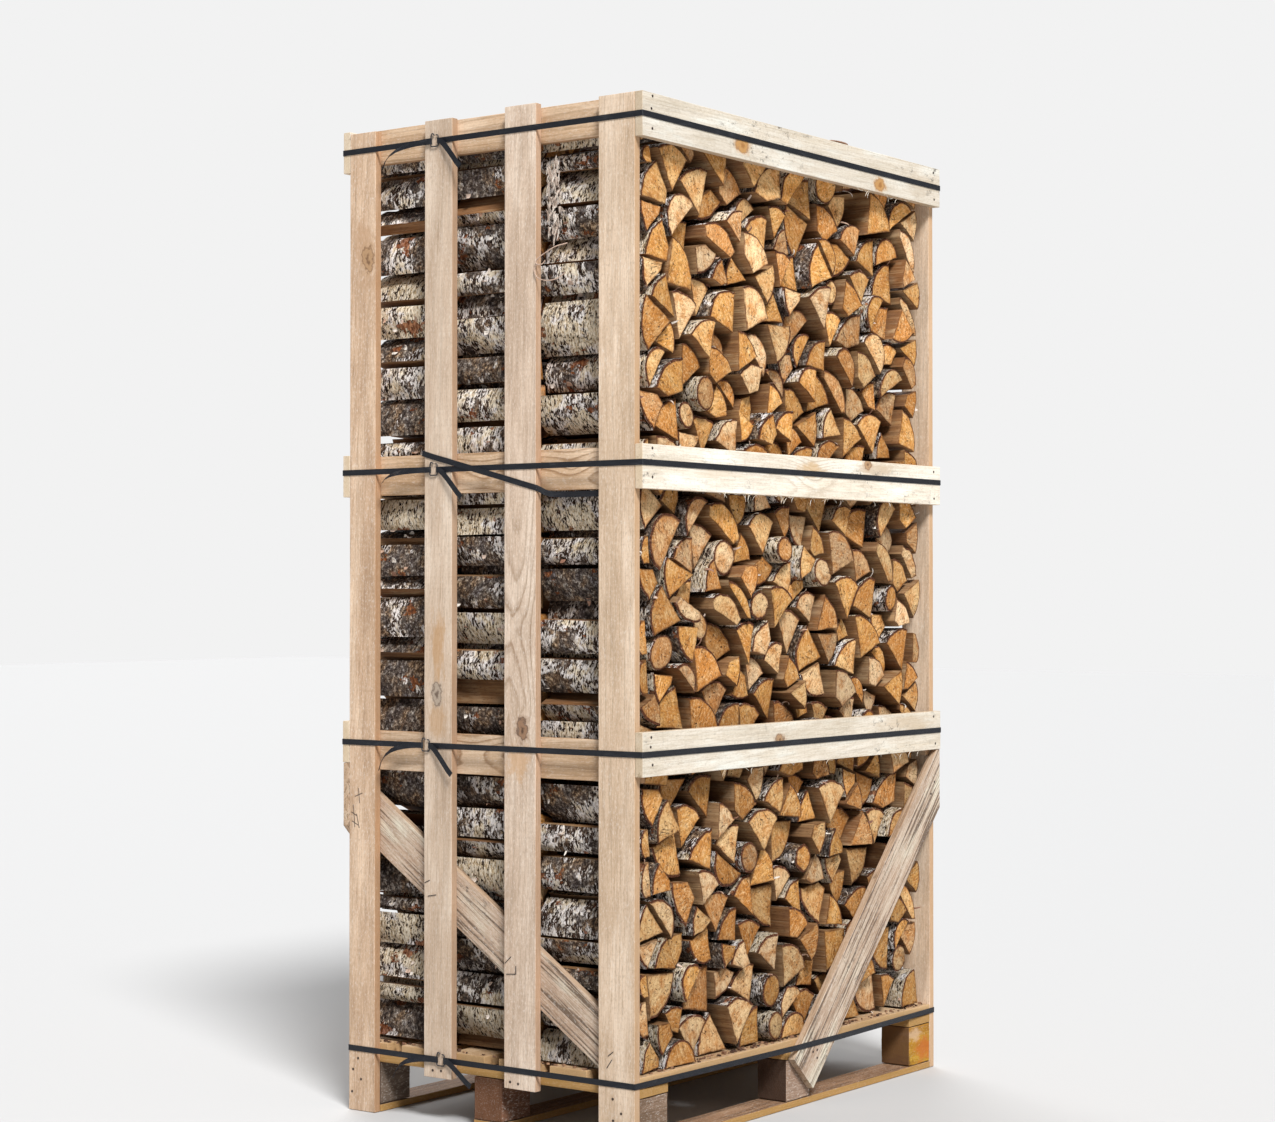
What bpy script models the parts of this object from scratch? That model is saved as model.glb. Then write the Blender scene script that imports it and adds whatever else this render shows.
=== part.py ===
"""A crate of split firewood on a block pallet, tied with four plastic straps.

Metres, +Z up. The origin is on the floor under the middle of the pallet. X runs along the long
side and Y along the short side. The front, with the log ends, faces -Y, and the short end with
the strap buckles faces -X. The right end and the back are the left end and the front turned half
way round.
"""

import math

import bmesh
import bpy
import numpy as np
from mathutils import Matrix, Vector
from mathutils.geometry import delaunay_2d_cdt

# Clearance between pieces that touch
GAP = 0.0003

# Pallet
PALLET_LENGTH = 1.200
PALLET_WIDTH = 0.800
SKID_HEIGHT = 0.016
BLOCK_HEIGHT = 0.095
STRINGER_HEIGHT = 0.020
DECK_HEIGHT = 0.024
BLOCK_LENGTH = 0.100
BLOCK_WIDTH = 0.080
STRINGER_WIDTH = 0.100
DECK_BOARD_WIDTH = 0.100
DECK_BOARD_COUNT = 6
COLUMN_X = (-0.550, 0.005, 0.550)
LINE_Y = (-0.360, 0.010, 0.360)

# Crate boards
UPRIGHT_THICKNESS = 0.019
CRATE_HEIGHT = 2.205
SLAT_FOOT = 0.098
SIDE_RAIL_THICKNESS = 0.020
SIDE_RAIL_HEIGHT = 0.094
SIDE_RAIL_BOTTOMS = {"top": 2.111, "middle": 1.378, "low": 0.779}
END_RAIL_THICKNESS = 0.018
# End rails: bottom edge and height
END_RAILS = {"top": (2.125, 0.078), "middle": (1.380, 0.088), "low": (0.765, 0.088)}
# Uprights of the left end: centre along Y, width, foot, top
LEFT_UPRIGHTS = {
    "post_front": (-0.3525, 0.095, 0.0, CRATE_HEIGHT),
    "slat_front": (-0.094, 0.087, SLAT_FOOT, CRATE_HEIGHT + 0.006),
    "slat_back": (0.137, 0.080, SLAT_FOOT, CRATE_HEIGHT),
    "post_back": (0.361, 0.078, 0.0, CRATE_HEIGHT - 0.006),
}

# Braces
BRACE_THICKNESS = 0.018
SIDE_BRACE_WIDTH = 0.110
SIDE_BRACE_ANGLE = math.radians(46.0)
SIDE_BRACE_FOOT = (0.000, 0.0745)
END_BRACE_WIDTH = 0.105
END_BRACE_ANGLE = math.radians(34.0)

# Straps
STRAP_WIDTH = 0.0125
STRAP_THICKNESS = 0.0008
STRAP_BEND = 0.0011
STRAP_HEIGHTS = {"top": 2.158, "upper": 1.433, "lower": 0.826, "bottom": 0.139}
BUCKLE_Y = {"top": 0.146, "upper": 0.148, "lower": 0.170, "bottom": 0.126}
# Tails: how far each reaches along the strap, and how far its tip drops
LEFT_TAILS = {
    "top": (0.133, 0.052),
    "upper": (0.130, 0.026),
    "lower": (0.117, 0.059),
    "bottom": (0.117, 0.049),
}
RIGHT_TAILS = {
    "top": (0.073, 0.066),
    "upper": (0.079, 0.063),
    "lower": (0.073, 0.061),
    "bottom": (0.085, 0.046),
}
WIRE_RADIUS = 0.0014
BUCKLE_HALF_WIDTH = 0.0105
BUCKLE_HALF_HEIGHT = 0.0125

# Stacked logs
STACK_LENGTH = 1.160
STACK_TOP = 2.192
ROW_SEEDS = {"front": 11, "middle": 23, "back": 37}
ROW_MIDDLE_Y = {"front": -0.254, "middle": 0.0, "back": 0.254}
ROW_HALF_DEPTH = {"front": 0.118, "middle": 0.124, "back": 0.118}
END_SPREAD = 0.024
RAISED_SHARE = 0.45
ENVELOPE_STEP = 0.036

# Search for a place for each log
CELL = 0.003
SHAPES = 500
TRIES = 80
SIDE_REACH = 12
MOST_COUNTED_GAP = 0.022
LOG_CLEARANCE = 0.0012

DECK_TOP = SKID_HEIGHT + BLOCK_HEIGHT + STRINGER_HEIGHT + DECK_HEIGHT
PALLET_HALF_LENGTH = PALLET_LENGTH / 2
PALLET_HALF_WIDTH = PALLET_WIDTH / 2
UPRIGHT_INNER_X = PALLET_HALF_LENGTH + GAP
UPRIGHT_OUTER_X = UPRIGHT_INNER_X + UPRIGHT_THICKNESS
RAIL_INNER_Y = PALLET_HALF_WIDTH + GAP
RAIL_OUTER_Y = RAIL_INNER_Y + SIDE_RAIL_THICKNESS

COLOURS = {
    "pallet_wood": (0.50, 0.34, 0.20),
    "block_wood": (0.24, 0.13, 0.07),
    "upright_wood": (0.72, 0.54, 0.37),
    "rail_wood": (0.80, 0.66, 0.47),
    "brace_wood": (0.76, 0.60, 0.42),
    "log_wood": (0.60, 0.36, 0.16),
    "strap_plastic": (0.015, 0.017, 0.022),
    "buckle_wire": (0.03, 0.03, 0.034),
}
TURNED = Matrix.Rotation(math.pi, 4, "Z")


def clear_scene():
    for old in list(bpy.data.objects):
        bpy.data.objects.remove(old, do_unlink=True)


def new_collection(name):
    collection = bpy.data.collections.new(name)
    bpy.context.scene.collection.children.link(collection)
    return collection


def new_material(name, colour):
    material = bpy.data.materials.new(name)
    material.use_nodes = True
    shader = material.node_tree.nodes["Principled BSDF"]
    shader.inputs["Base Color"].default_value = (*colour, 1.0)
    shader.inputs["Metallic"].default_value = 0.9 if name == "buckle_wire" else 0.0
    shader.inputs["Roughness"].default_value = 0.45 if name in ("strap_plastic", "buckle_wire") else 0.8
    return material


clear_scene()
PARTS = new_collection("firewood_crate")
MATERIALS = {name: new_material(name, colour) for name, colour in COLOURS.items()}


def add_object(name, data, material, turned=False):
    """Links data as an object, turned half way round the crate where turned is True."""
    piece = bpy.data.objects.new(name, data)
    data.materials.append(MATERIALS[material])
    PARTS.objects.link(piece)
    if turned:
        piece.matrix_world = TURNED
    return piece


def mesh_from(name, bm):
    bmesh.ops.recalc_face_normals(bm, faces=bm.faces)
    mesh = bpy.data.meshes.new(name)
    bm.to_mesh(mesh)
    bm.free()
    return mesh


def add_board(name, low, high, material, turned=False):
    """A sawn board or block between two corners."""
    low, high = Vector(low), Vector(high)
    size = high - low
    bm = bmesh.new()
    bmesh.ops.create_cube(bm, size=1.0)
    bmesh.ops.scale(bm, vec=size, verts=bm.verts)
    bmesh.ops.translate(bm, vec=(low + high) / 2, verts=bm.verts)
    return add_object(name, mesh_from(name, bm), material, turned)


def add_plate(name, outline, thickness, plane, middle, material, turned=False):
    """A flat board with an outline: plane "XZ" stands along the side, "YZ" stands across the end."""
    curve = bpy.data.curves.new(name, "CURVE")
    curve.dimensions = "2D"
    curve.fill_mode = "BOTH"
    curve.extrude = thickness / 2
    spline = curve.splines.new("POLY")
    spline.points.add(len(outline) - 1)
    for point, (across, up) in zip(spline.points, outline):
        point.co = (across, up, 0.0, 1.0)
    spline.use_cyclic_u = True
    plate = add_object(name, curve, material)
    stand = Matrix.Rotation(math.pi / 2, 4, "X")
    if plane == "XZ":
        place = Matrix.Translation((0.0, middle, 0.0)) @ stand
    else:
        place = Matrix.Translation((middle, 0.0, 0.0)) @ Matrix.Rotation(math.pi / 2, 4, "Z") @ stand
    plate.matrix_world = TURNED @ place if turned else place
    return plate


def build_pallet():
    """Three skids, nine blocks, three stringers and six deck boards, each layer a gap below the next."""
    block_bottom = SKID_HEIGHT
    stringer_bottom = block_bottom + BLOCK_HEIGHT
    deck_bottom = stringer_bottom + STRINGER_HEIGHT
    line_names = ("front", "middle", "back")
    column_names = ("left", "middle", "right")
    for line, y in zip(line_names, LINE_Y):
        y_low, y_high = y - BLOCK_WIDTH / 2, y + BLOCK_WIDTH / 2
        add_board(
            f"pallet_skid_{line}",
            (-PALLET_HALF_LENGTH, y_low, 0.0),
            (PALLET_HALF_LENGTH, y_high, SKID_HEIGHT - GAP),
            "pallet_wood",
        )
        for column, x in zip(column_names, COLUMN_X):
            add_board(
                f"pallet_block_{line}_{column}",
                (x - BLOCK_LENGTH / 2, y_low, block_bottom),
                (x + BLOCK_LENGTH / 2, y_high, stringer_bottom - GAP),
                "block_wood",
            )
    for column, x in zip(column_names, COLUMN_X):
        add_board(
            f"pallet_stringer_{column}",
            (x - STRINGER_WIDTH / 2, -PALLET_HALF_WIDTH, stringer_bottom),
            (x + STRINGER_WIDTH / 2, PALLET_HALF_WIDTH, deck_bottom - GAP),
            "pallet_wood",
        )
    pitch = (PALLET_WIDTH - DECK_BOARD_WIDTH) / (DECK_BOARD_COUNT - 1)
    for number in range(DECK_BOARD_COUNT):
        y_low = -PALLET_HALF_WIDTH + number * pitch
        add_board(
            f"pallet_deck_board_{number + 1}",
            (-PALLET_HALF_LENGTH, y_low, deck_bottom),
            (PALLET_HALF_LENGTH, y_low + DECK_BOARD_WIDTH, DECK_TOP - GAP),
            "pallet_wood",
        )


def turned_name(name):
    """The name of a left or front piece's twin, half way round the crate."""
    swap = {"left": "right", "front": "back", "back": "front"}
    return "_".join(swap.get(word, word) for word in name.split("_"))


def build_uprights():
    """Posts and slats, nailed to the outside of the pallet's short ends."""
    for upright, (middle, width, foot, top) in LEFT_UPRIGHTS.items():
        name = f"{upright}_left"
        low = (-UPRIGHT_OUTER_X, middle - width / 2, foot)
        high = (-UPRIGHT_INNER_X, middle + width / 2, top)
        add_board(name, low, high, "upright_wood")
        add_board(turned_name(name), low, high, "upright_wood", turned=True)


def build_rails():
    """Side rails outside the posts' edges, and end rails inside the uprights."""
    for level, bottom in SIDE_RAIL_BOTTOMS.items():
        low = (-UPRIGHT_OUTER_X, -RAIL_OUTER_Y, bottom)
        high = (UPRIGHT_OUTER_X, -RAIL_INNER_Y, bottom + SIDE_RAIL_HEIGHT)
        add_board(f"side_rail_front_{level}", low, high, "rail_wood")
        add_board(f"side_rail_back_{level}", low, high, "rail_wood", turned=True)
    outer = UPRIGHT_INNER_X - GAP
    for level, (bottom, height) in END_RAILS.items():
        low = (-outer, -PALLET_HALF_WIDTH, bottom)
        high = (-outer + END_RAIL_THICKNESS, PALLET_HALF_WIDTH, bottom + height)
        add_board(f"end_rail_left_{level}", low, high, "rail_wood")
        add_board(f"end_rail_right_{level}", low, high, "rail_wood", turned=True)


def side_brace_outline():
    """The long side's brace: square cut at the foot, trimmed to the post and the low rail above."""
    along = Vector((math.cos(SIDE_BRACE_ANGLE), math.sin(SIDE_BRACE_ANGLE)))
    across = Vector((-along.y, along.x)) * SIDE_BRACE_WIDTH / 2
    foot = Vector(SIDE_BRACE_FOOT)
    upper, lower = foot + across, foot - across
    under_rail = SIDE_RAIL_BOTTOMS["low"] - GAP
    end = UPRIGHT_OUTER_X
    lower_end = lower + along * ((end - lower.x) / along.x)
    upper_end = upper + along * ((under_rail - upper.y) / along.y)
    return [upper, lower, lower_end, (end, under_rail), upper_end]


def end_brace_outline():
    """The short end's brace: square cut at both ends, from the far post down to the near one."""
    along = Vector((-math.cos(END_BRACE_ANGLE), -math.sin(END_BRACE_ANGLE)))
    across = Vector((along.y, -along.x)) * END_BRACE_WIDTH
    foot = Vector((-0.303, DECK_TOP + 0.002))
    length = (PALLET_HALF_WIDTH - foot.x) / -along.x
    head = foot - along * length
    return [foot, head, head + across, foot + across]


def build_braces():
    outline = side_brace_outline()
    middle = -RAIL_INNER_Y - BRACE_THICKNESS / 2
    add_plate("brace_front", outline, BRACE_THICKNESS, "XZ", middle, "brace_wood")
    add_plate("brace_back", outline, BRACE_THICKNESS, "XZ", middle, "brace_wood", turned=True)
    outline = end_brace_outline()
    middle = -UPRIGHT_INNER_X + GAP + BRACE_THICKNESS / 2
    add_plate("brace_left", outline, BRACE_THICKNESS, "YZ", middle, "brace_wood")
    add_plate("brace_right", outline, BRACE_THICKNESS, "YZ", middle, "brace_wood", turned=True)


def join_sections(bm, first, second):
    """Faces between two sections of a strap, folded the same way on both of its wide sides where it twists."""
    bm.faces.new((first[0], first[1], second[1]))
    bm.faces.new((first[0], second[1], second[0]))
    bm.faces.new((first[2], first[3], second[2]))
    bm.faces.new((first[3], second[3], second[2]))
    bm.faces.new((first[1], first[2], second[2], second[1]))
    bm.faces.new((first[3], first[0], second[0], second[3]))


def add_ribbon(name, path, material):
    """A flat strap lofted through sections: path holds (centre, direction of the strap's width)."""
    centres = [Vector(centre) for centre, _ in path]
    bm = bmesh.new()
    sections = []
    for index, (centre, width_way) in enumerate(path):
        before = centres[max(index - 1, 0)]
        after = centres[min(index + 1, len(path) - 1)]
        way = (after - before).normalized()
        face = way.cross(Vector(width_way)).normalized()
        wide = face.cross(way).normalized() * STRAP_WIDTH / 2
        thick = face * STRAP_THICKNESS / 2
        corners = (wide + thick, thick - wide, -wide - thick, wide - thick)
        sections.append([bm.verts.new(Vector(centre) + corner) for corner in corners])
    for first, second in zip(sections, sections[1:]):
        join_sections(bm, first, second)
    bm.faces.new(sections[0])
    bm.faces.new(sections[-1])
    return add_object(name, mesh_from(name, bm), material)


def on_left_end(along, up, out):
    """A point on the left end: along Y, up Z, and out from the uprights' outer faces."""
    return Vector((-UPRIGHT_OUTER_X - out, along, up))


UNDER = GAP + STRAP_THICKNESS / 2
WIRE_OUT = UNDER + STRAP_THICKNESS / 2 + GAP + WIRE_RADIUS
WRAP_RADIUS = WIRE_OUT - UNDER
OVER = WIRE_OUT + WRAP_RADIUS


def strap_wrap(bar_y, height, inner_side):
    """The strap's turn round one bar of the buckle, from over the bar to under it."""
    turn = []
    for step in range(5):
        angle = math.pi / 2 - step * math.pi / 4
        along = bar_y + inner_side * WRAP_RADIUS * math.cos(angle)
        out = WIRE_OUT + WRAP_RADIUS * math.sin(angle)
        turn.append((on_left_end(along, height, out), (0.0, 0.0, 1.0)))
    return turn


def upright_width(way):
    """The direction of a strap's width where the strap lies flat against the end and runs along way."""
    width_way = Vector((0.0, -way.z, way.y))
    return width_way if width_way.z > 0 else -width_way


def right_tail(bar_y, height, reach, drop):
    """The tail that leaves the buckle towards the front and hangs off to the lower right."""
    shape = (
        (1.00, 1.00, 0.0145),
        (0.84, 0.82, 0.0140),
        (0.64, 0.57, 0.0120),
        (0.45, 0.35, 0.0095),
        (0.27, 0.16, 0.0070),
        (0.12, 0.03, 0.0050),
    )
    points = [on_left_end(bar_y - reach * share, height - drop * fall, out) for share, fall, out in shape]
    ways = [after - before for before, after in zip(points, [*points[1:], on_left_end(bar_y, height, OVER)])]
    return [(point, upright_width(way)) for point, way in zip(points, ways)]


def left_tail(bar_y, height, reach, drop):
    """The tail that follows the strap back, then curls down and turns its edge outwards."""
    shape = (
        (0.12, 0.00, OVER, 0),
        (0.27, 0.02, 0.0053, 5),
        (0.43, 0.06, 0.0068, 15),
        (0.58, 0.13, 0.0088, 28),
        (0.72, 0.24, 0.0110, 42),
        (0.85, 0.42, 0.0130, 56),
        (0.94, 0.66, 0.0142, 67),
        (1.00, 1.00, 0.0145, 74),
    )
    points = []
    for share, fall, out, degrees in shape:
        twist = math.radians(degrees)
        width_way = Vector((0.88 * math.sin(twist), 0.47 * math.sin(twist), math.cos(twist)))
        points.append((on_left_end(bar_y + reach * share, height - drop * fall, out), width_way))
    return points


def round_corner(corner, before, after):
    """Three points that take a strap round one corner of the crate."""
    towards = (before - corner).normalized() * STRAP_BEND
    away = (after - corner).normalized() * STRAP_BEND
    return [corner + towards, corner + (towards + away) * 0.29, corner + away]


def hull_corners(level):
    """Where a strap turns, seen from above, in order from the left end's front corner."""
    x = UPRIGHT_OUTER_X + UNDER
    if level != "bottom":
        y = RAIL_OUTER_Y + UNDER
        return [(-x, -y), (x, -y), (x, y), (-x, y)]
    y = PALLET_HALF_WIDTH + UNDER
    out = y + GAP + BRACE_THICKNESS
    low = STRAP_HEIGHTS["bottom"] - STRAP_WIDTH
    high = STRAP_HEIGHTS["bottom"] + STRAP_WIDTH
    half = SIDE_BRACE_WIDTH / 2
    rise, run = math.sin(SIDE_BRACE_ANGLE), math.cos(SIDE_BRACE_ANGLE)
    left = SIDE_BRACE_FOOT[0] + (low - SIDE_BRACE_FOOT[1] - half / run) * run / rise
    right = SIDE_BRACE_FOOT[0] + (high - SIDE_BRACE_FOOT[1] + half / run) * run / rise
    return [(-x, -y), (left, -out), (right, -out), (x, -y), (x, y), (-left, out), (-right, out), (-x, y)]


def strap_loop(level, start_y, end_y):
    """The strap's run round the crate, from under one bar of the buckle to under the other."""
    height = STRAP_HEIGHTS[level]
    corners = [Vector((x, y, height)) for x, y in hull_corners(level)]
    start = on_left_end(start_y, height, UNDER)
    end = on_left_end(end_y, height, UNDER)
    stops = [start, *corners, end]
    points = []
    for before, corner, after in zip(stops, stops[1:], stops[2:]):
        points.extend(round_corner(corner, before, after))
    return [(point, (0.0, 0.0, 1.0)) for point in points]


def build_strap(level):
    """One strap: right tail, turn round the buckle, loop, turn round the buckle, left tail."""
    height, middle = STRAP_HEIGHTS[level], BUCKLE_Y[level]
    front_bar, back_bar = middle - BUCKLE_HALF_WIDTH, middle + BUCKLE_HALF_WIDTH
    path = right_tail(front_bar, height, *RIGHT_TAILS[level])
    path += strap_wrap(front_bar, height, 1)
    path += strap_loop(level, front_bar, back_bar)
    path += reversed(strap_wrap(back_bar, height, -1))
    path += left_tail(back_bar, height, *LEFT_TAILS[level])
    add_ribbon(f"strap_{level}", path, "strap_plastic")


def add_wire(name, points, material):
    curve = bpy.data.curves.new(name, "CURVE")
    curve.dimensions = "3D"
    curve.bevel_depth = WIRE_RADIUS
    curve.bevel_resolution = 1
    curve.use_fill_caps = True
    spline = curve.splines.new("POLY")
    spline.points.add(len(points) - 1)
    for point, place in zip(spline.points, points):
        point.co = (*place, 1.0)
    return add_object(name, curve, material)


def build_buckle(level):
    """A wire bent into a frame, its ends meeting at the top, with a raised eye at one corner."""
    wide, tall = BUCKLE_HALF_WIDTH, BUCKLE_HALF_HEIGHT
    bend = 0.0022
    frame = (
        (0.0010, tall - 0.0002),
        (0.0042, tall + 0.0036),
        (wide - 0.0022, tall + 0.0036),
        (wide, tall - bend),
        (wide, bend - tall),
        (wide - bend, -tall),
        (bend - wide, -tall),
        (-wide, bend - tall),
        (-wide, tall - bend),
        (bend - wide, tall),
        (-0.0038, tall),
    )
    height, middle = STRAP_HEIGHTS[level], BUCKLE_Y[level]
    points = [on_left_end(middle + along, height + up, WIRE_OUT) for along, up in frame]
    add_wire(f"buckle_{level}", points, "buckle_wire")


def build_loose_strap():
    """A spare length of strap, lying over the second strap and caught behind the front post."""
    height = STRAP_HEIGHTS["upper"]
    over_strap = 2 * UNDER + GAP + STRAP_THICKNESS
    route = (
        (0.182, 0.037, UNDER),
        (0.150, 0.028, UNDER + 0.0004),
        (0.100, 0.0155, over_strap),
        (0.046, 0.0015, over_strap),
        (-0.010, -0.0130, over_strap),
        (-0.050, -0.0235, UNDER + 0.0004),
        (-0.100, -0.0370, UNDER),
        (-0.1392, -0.0470, UNDER),
        (-0.1432, -0.0495, -0.0040),
        (-0.1550, -0.0570, -0.0110),
        (-0.1730, -0.0612, -0.0170),
        (-0.2000, -0.0618, -0.0208),
        (-0.3300, -0.0618, -0.0212),
    )
    points = [on_left_end(along, height + up, out) for along, up, out in route]
    neighbours = zip([points[0], *points], [*points[1:], points[-1]])
    path = [(point, upright_width(after - before)) for point, (before, after) in zip(points, neighbours)]
    add_ribbon("strap_loose", path, "strap_plastic")


def arc_points(radius, opening):
    """Points along the bark of a log whose heart is at the origin and whose middle is towards +X."""
    count = max(2, math.ceil(opening / math.radians(14)))
    angles = [opening * (step / count - 0.5) for step in range(count + 1)]
    return [(radius * math.cos(angle), radius * math.sin(angle)) for angle in angles]


def split_log(rng):
    """One log's end: its outline, which of its sides are bark, and the corners of a plain version."""
    kind = rng.choice(("wedge", "half", "slab", "blunt_wedge", "round"), p=(0.38, 0.18, 0.14, 0.23, 0.07))
    if kind == "wedge":
        bark = arc_points(rng.uniform(0.079, 0.116), math.radians(rng.uniform(50, 92)))
        split = [(0.0, 0.0)]
    elif kind == "half":
        bark = arc_points(rng.uniform(0.051, 0.075), math.radians(rng.uniform(140, 190)))
        split = []
    elif kind == "slab":
        bark = arc_points(rng.uniform(0.075, 0.107), math.radians(rng.uniform(75, 110)))
        flat = bark[0][0] - rng.uniform(0.010, 0.032)
        split = [(flat, bark[-1][1] * 0.82), (flat, bark[0][1] * 0.82)]
    elif kind == "blunt_wedge":
        bark = arc_points(rng.uniform(0.088, 0.121), math.radians(rng.uniform(42, 72)))
        heart = rng.uniform(0.22, 0.48)
        slant = rng.uniform(-0.14, 0.14)
        (x, y) = bark[-1]
        split = [(x * (heart + slant), y * (heart + slant)), (x * (heart - slant), -y * (heart - slant))]
    else:
        bark = arc_points(rng.uniform(0.034, 0.050), 2 * math.pi)[:-1]
        split = []
    outline = np.array(bark + split)
    outline[:, 1] *= rng.uniform(0.88, 1.0)
    is_bark = np.zeros(len(outline), bool)
    is_bark[: len(bark) - (kind != "round")] = True
    return outline - outline.mean(axis=0), is_bark, plain_corners(kind, len(bark), len(split))


def plain_corners(kind, bark_count, split_count):
    """Which points of an outline a plain version keeps."""
    last = bark_count - 1
    if kind == "round":
        kept = list(range(0, bark_count, 4))
    elif kind == "half":
        kept = [0, last // 3, last - last // 3, last]
    else:
        kept = [0, last // 2, last]
    return kept + list(range(bark_count, bark_count + split_count))


def shoelace(outline):
    x, y = outline[:, 0], outline[:, 1]
    return abs(np.dot(x, np.roll(y, -1)) - np.dot(y, np.roll(x, -1))) / 2


def walk_round(outline, step=0.0015):
    """Close points all round an outline."""
    points = []
    for first, second in zip(outline, np.roll(outline, -1, axis=0)):
        count = max(1, int(np.hypot(*(second - first)) / step))
        points.append(first + (second - first) * np.arange(count)[:, None] / count)
    return np.vstack(points)


class Shape:
    """A log's end at one turn, with its lower and upper outline in columns of CELL."""

    def __init__(self, outline, is_bark, corners):
        self.outline = outline - [outline[:, 0].min(), 0.0]
        self.corners = corners
        edge = walk_round(self.outline)
        column = np.floor(edge[:, 0] / CELL).astype(int)
        self.columns = column.max() + 1
        self.lower = np.full(self.columns, np.inf)
        self.upper = np.full(self.columns, -np.inf)
        np.minimum.at(self.lower, column, edge[:, 1])
        np.maximum.at(self.upper, column, edge[:, 1])
        self.area = shoelace(self.outline)
        wide, tall = np.ptp(self.outline, axis=0)
        self.tallness = tall / wide
        middle = self.outline[:, 0].mean()
        self.bark_side = 0.0 if is_bark.all() else self.outline[is_bark, 0].mean() - middle
        self.is_bark = is_bark


def shapes_to_choose_from(rng):
    shapes = []
    while len(shapes) < SHAPES:
        outline, is_bark, corners = split_log(rng)
        turn = rng.uniform(0, 2 * math.pi)
        cos, sin = math.cos(turn), math.sin(turn)
        shape = Shape(outline @ np.array([[cos, sin], [-sin, cos]]), is_bark, corners)
        if shape.tallness < 1.3:
            shapes.append(shape)
    return shapes


def gap_beside(walls, level, start, step):
    """Area of the narrow slots that a log would leave at one side."""
    columns = start[:, None] + step * np.arange(SIDE_REACH) + SIDE_REACH
    gap = level[:, None] - walls[columns]
    still_open = np.cumprod(gap > 0.002, axis=1)
    shut = still_open[:, -1] == 0
    return np.where(shut, (np.clip(gap, 0, MOST_COUNTED_GAP) * still_open).sum(axis=1), 0) * CELL


def best_place(shape, walls, height):
    """The score, column and height at which a shape lies lowest and leaves the smallest gaps."""
    sky = walls[SIDE_REACH:-SIDE_REACH]
    under = np.lib.stride_tricks.sliding_window_view(sky, shape.columns)
    rest = (under - shape.lower).max(axis=1)
    gap = np.minimum(rest[:, None] + shape.lower - under, MOST_COUNTED_GAP).sum(axis=1) * CELL
    score = gap / shape.area + 6.0 * (rest + shape.lower.min()) + 0.3 * max(0.0, shape.tallness - 0.9)
    score[rest + shape.upper.max() > height] = np.inf
    if shape.bark_side > -0.01:
        score[:8] += 0.35
    if shape.bark_side < 0.01:
        score[-8:] += 0.35
    lowest = np.argpartition(score, 10)[:10]
    left = gap_beside(walls, rest[lowest] + shape.lower[:5].min(), lowest - 1, -1)
    right = gap_beside(walls, rest[lowest] + shape.lower[-5:].min(), lowest + shape.columns, 1)
    full_score = score[lowest] + (left + right) / shape.area
    pick = int(np.argmin(full_score))
    return full_score[pick], int(lowest[pick]), rest[lowest[pick]]


def stack_logs(seed, width, height):
    """Logs dropped one by one into a slot: a list of (outline, corners) in the slot's own X and Z."""
    rng = np.random.RandomState(seed)
    shapes = shapes_to_choose_from(rng)
    columns = int(width / CELL)
    walls = np.full(columns + 2 * SIDE_REACH, 9.0)
    sky = walls[SIDE_REACH:-SIDE_REACH]
    sky[:] = 0.0
    logs = []
    misses = 0
    while misses < 5:
        picks = rng.choice(len(shapes), TRIES, replace=False)
        places = [(*best_place(shapes[pick], walls, height), pick) for pick in picks]
        score, column, rest, pick = min(places)
        if not np.isfinite(score):
            misses += 1
            continue
        shape = shapes[pick]
        covered = slice(column, column + shape.columns)
        sky[covered] = np.maximum(sky[covered], rest + shape.upper + LOG_CLEARANCE)
        logs.append((shape.outline + [column * CELL, rest], shape.corners))
    return logs


def stack_outline(logs, width):
    """The stack's own outline: its flat foot, then its bumpy right side, top and left side."""
    edge = np.vstack([walk_round(outline) for outline, _ in logs])
    side_steps = int((edge[:, 1].max() - ENVELOPE_STEP) / ENVELOPE_STEP)
    top_steps = int(width / ENVELOPE_STEP)
    row = np.floor(edge[:, 1] / ENVELOPE_STEP).astype(int).clip(0, side_steps)
    column = np.floor(edge[:, 0] / ENVELOPE_STEP).astype(int).clip(0, top_steps - 1)
    left, right = np.full(side_steps + 1, np.inf), np.full(side_steps + 1, -np.inf)
    top = np.full(top_steps, -np.inf)
    np.minimum.at(left, row, edge[:, 0])
    np.maximum.at(right, row, edge[:, 0])
    np.maximum.at(top, column, edge[:, 1])
    heights = (np.arange(side_steps) + 0.5) * ENVELOPE_STEP
    across = (np.arange(top_steps) + 0.5) * ENVELOPE_STEP
    points = [(left[0], 0.0), (right[0], 0.0)]
    points += [(x, z) for x, z in zip(right, heights) if z < top[-1] - ENVELOPE_STEP]
    points += list(zip(across, top))[::-1]
    points += [(x, z) for x, z in zip(left, heights) if z < top[0] - ENVELOPE_STEP][::-1]
    return np.array(points)


def lies_inside(outline, border, margin=0.002):
    """True if all of a log's outline is inside the stack's border."""
    edge = walk_round(outline)
    x, z = edge[:, 0], edge[:, 1]
    inside = np.zeros(len(edge), bool)
    nearest = np.full(len(edge), np.inf)
    for (x1, z1), (x2, z2) in zip(border, np.roll(border, -1, axis=0)):
        if (z1 > z).any() or (z2 > z).any():
            crosses = (z1 > z) != (z2 > z)
            at = x1 + (z - z1) * (x2 - x1) / (z2 - z1 if z2 != z1 else 1.0)
            inside ^= crosses & (x < at)
        length = math.hypot(x2 - x1, z2 - z1)
        share = (((x - x1) * (x2 - x1) + (z - z1) * (z2 - z1)) / length**2).clip(0, 1)
        nearest = np.minimum(nearest, np.hypot(x - x1 - share * (x2 - x1), z - z1 - share * (z2 - z1)))
    return bool(inside.all() and nearest.min() > margin)


def end_depths(seed, count):
    """How far each log's end stands out of the row, from 0 to 1."""
    return np.random.RandomState(seed + 1).uniform(0.0, 1.0, count)


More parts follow.
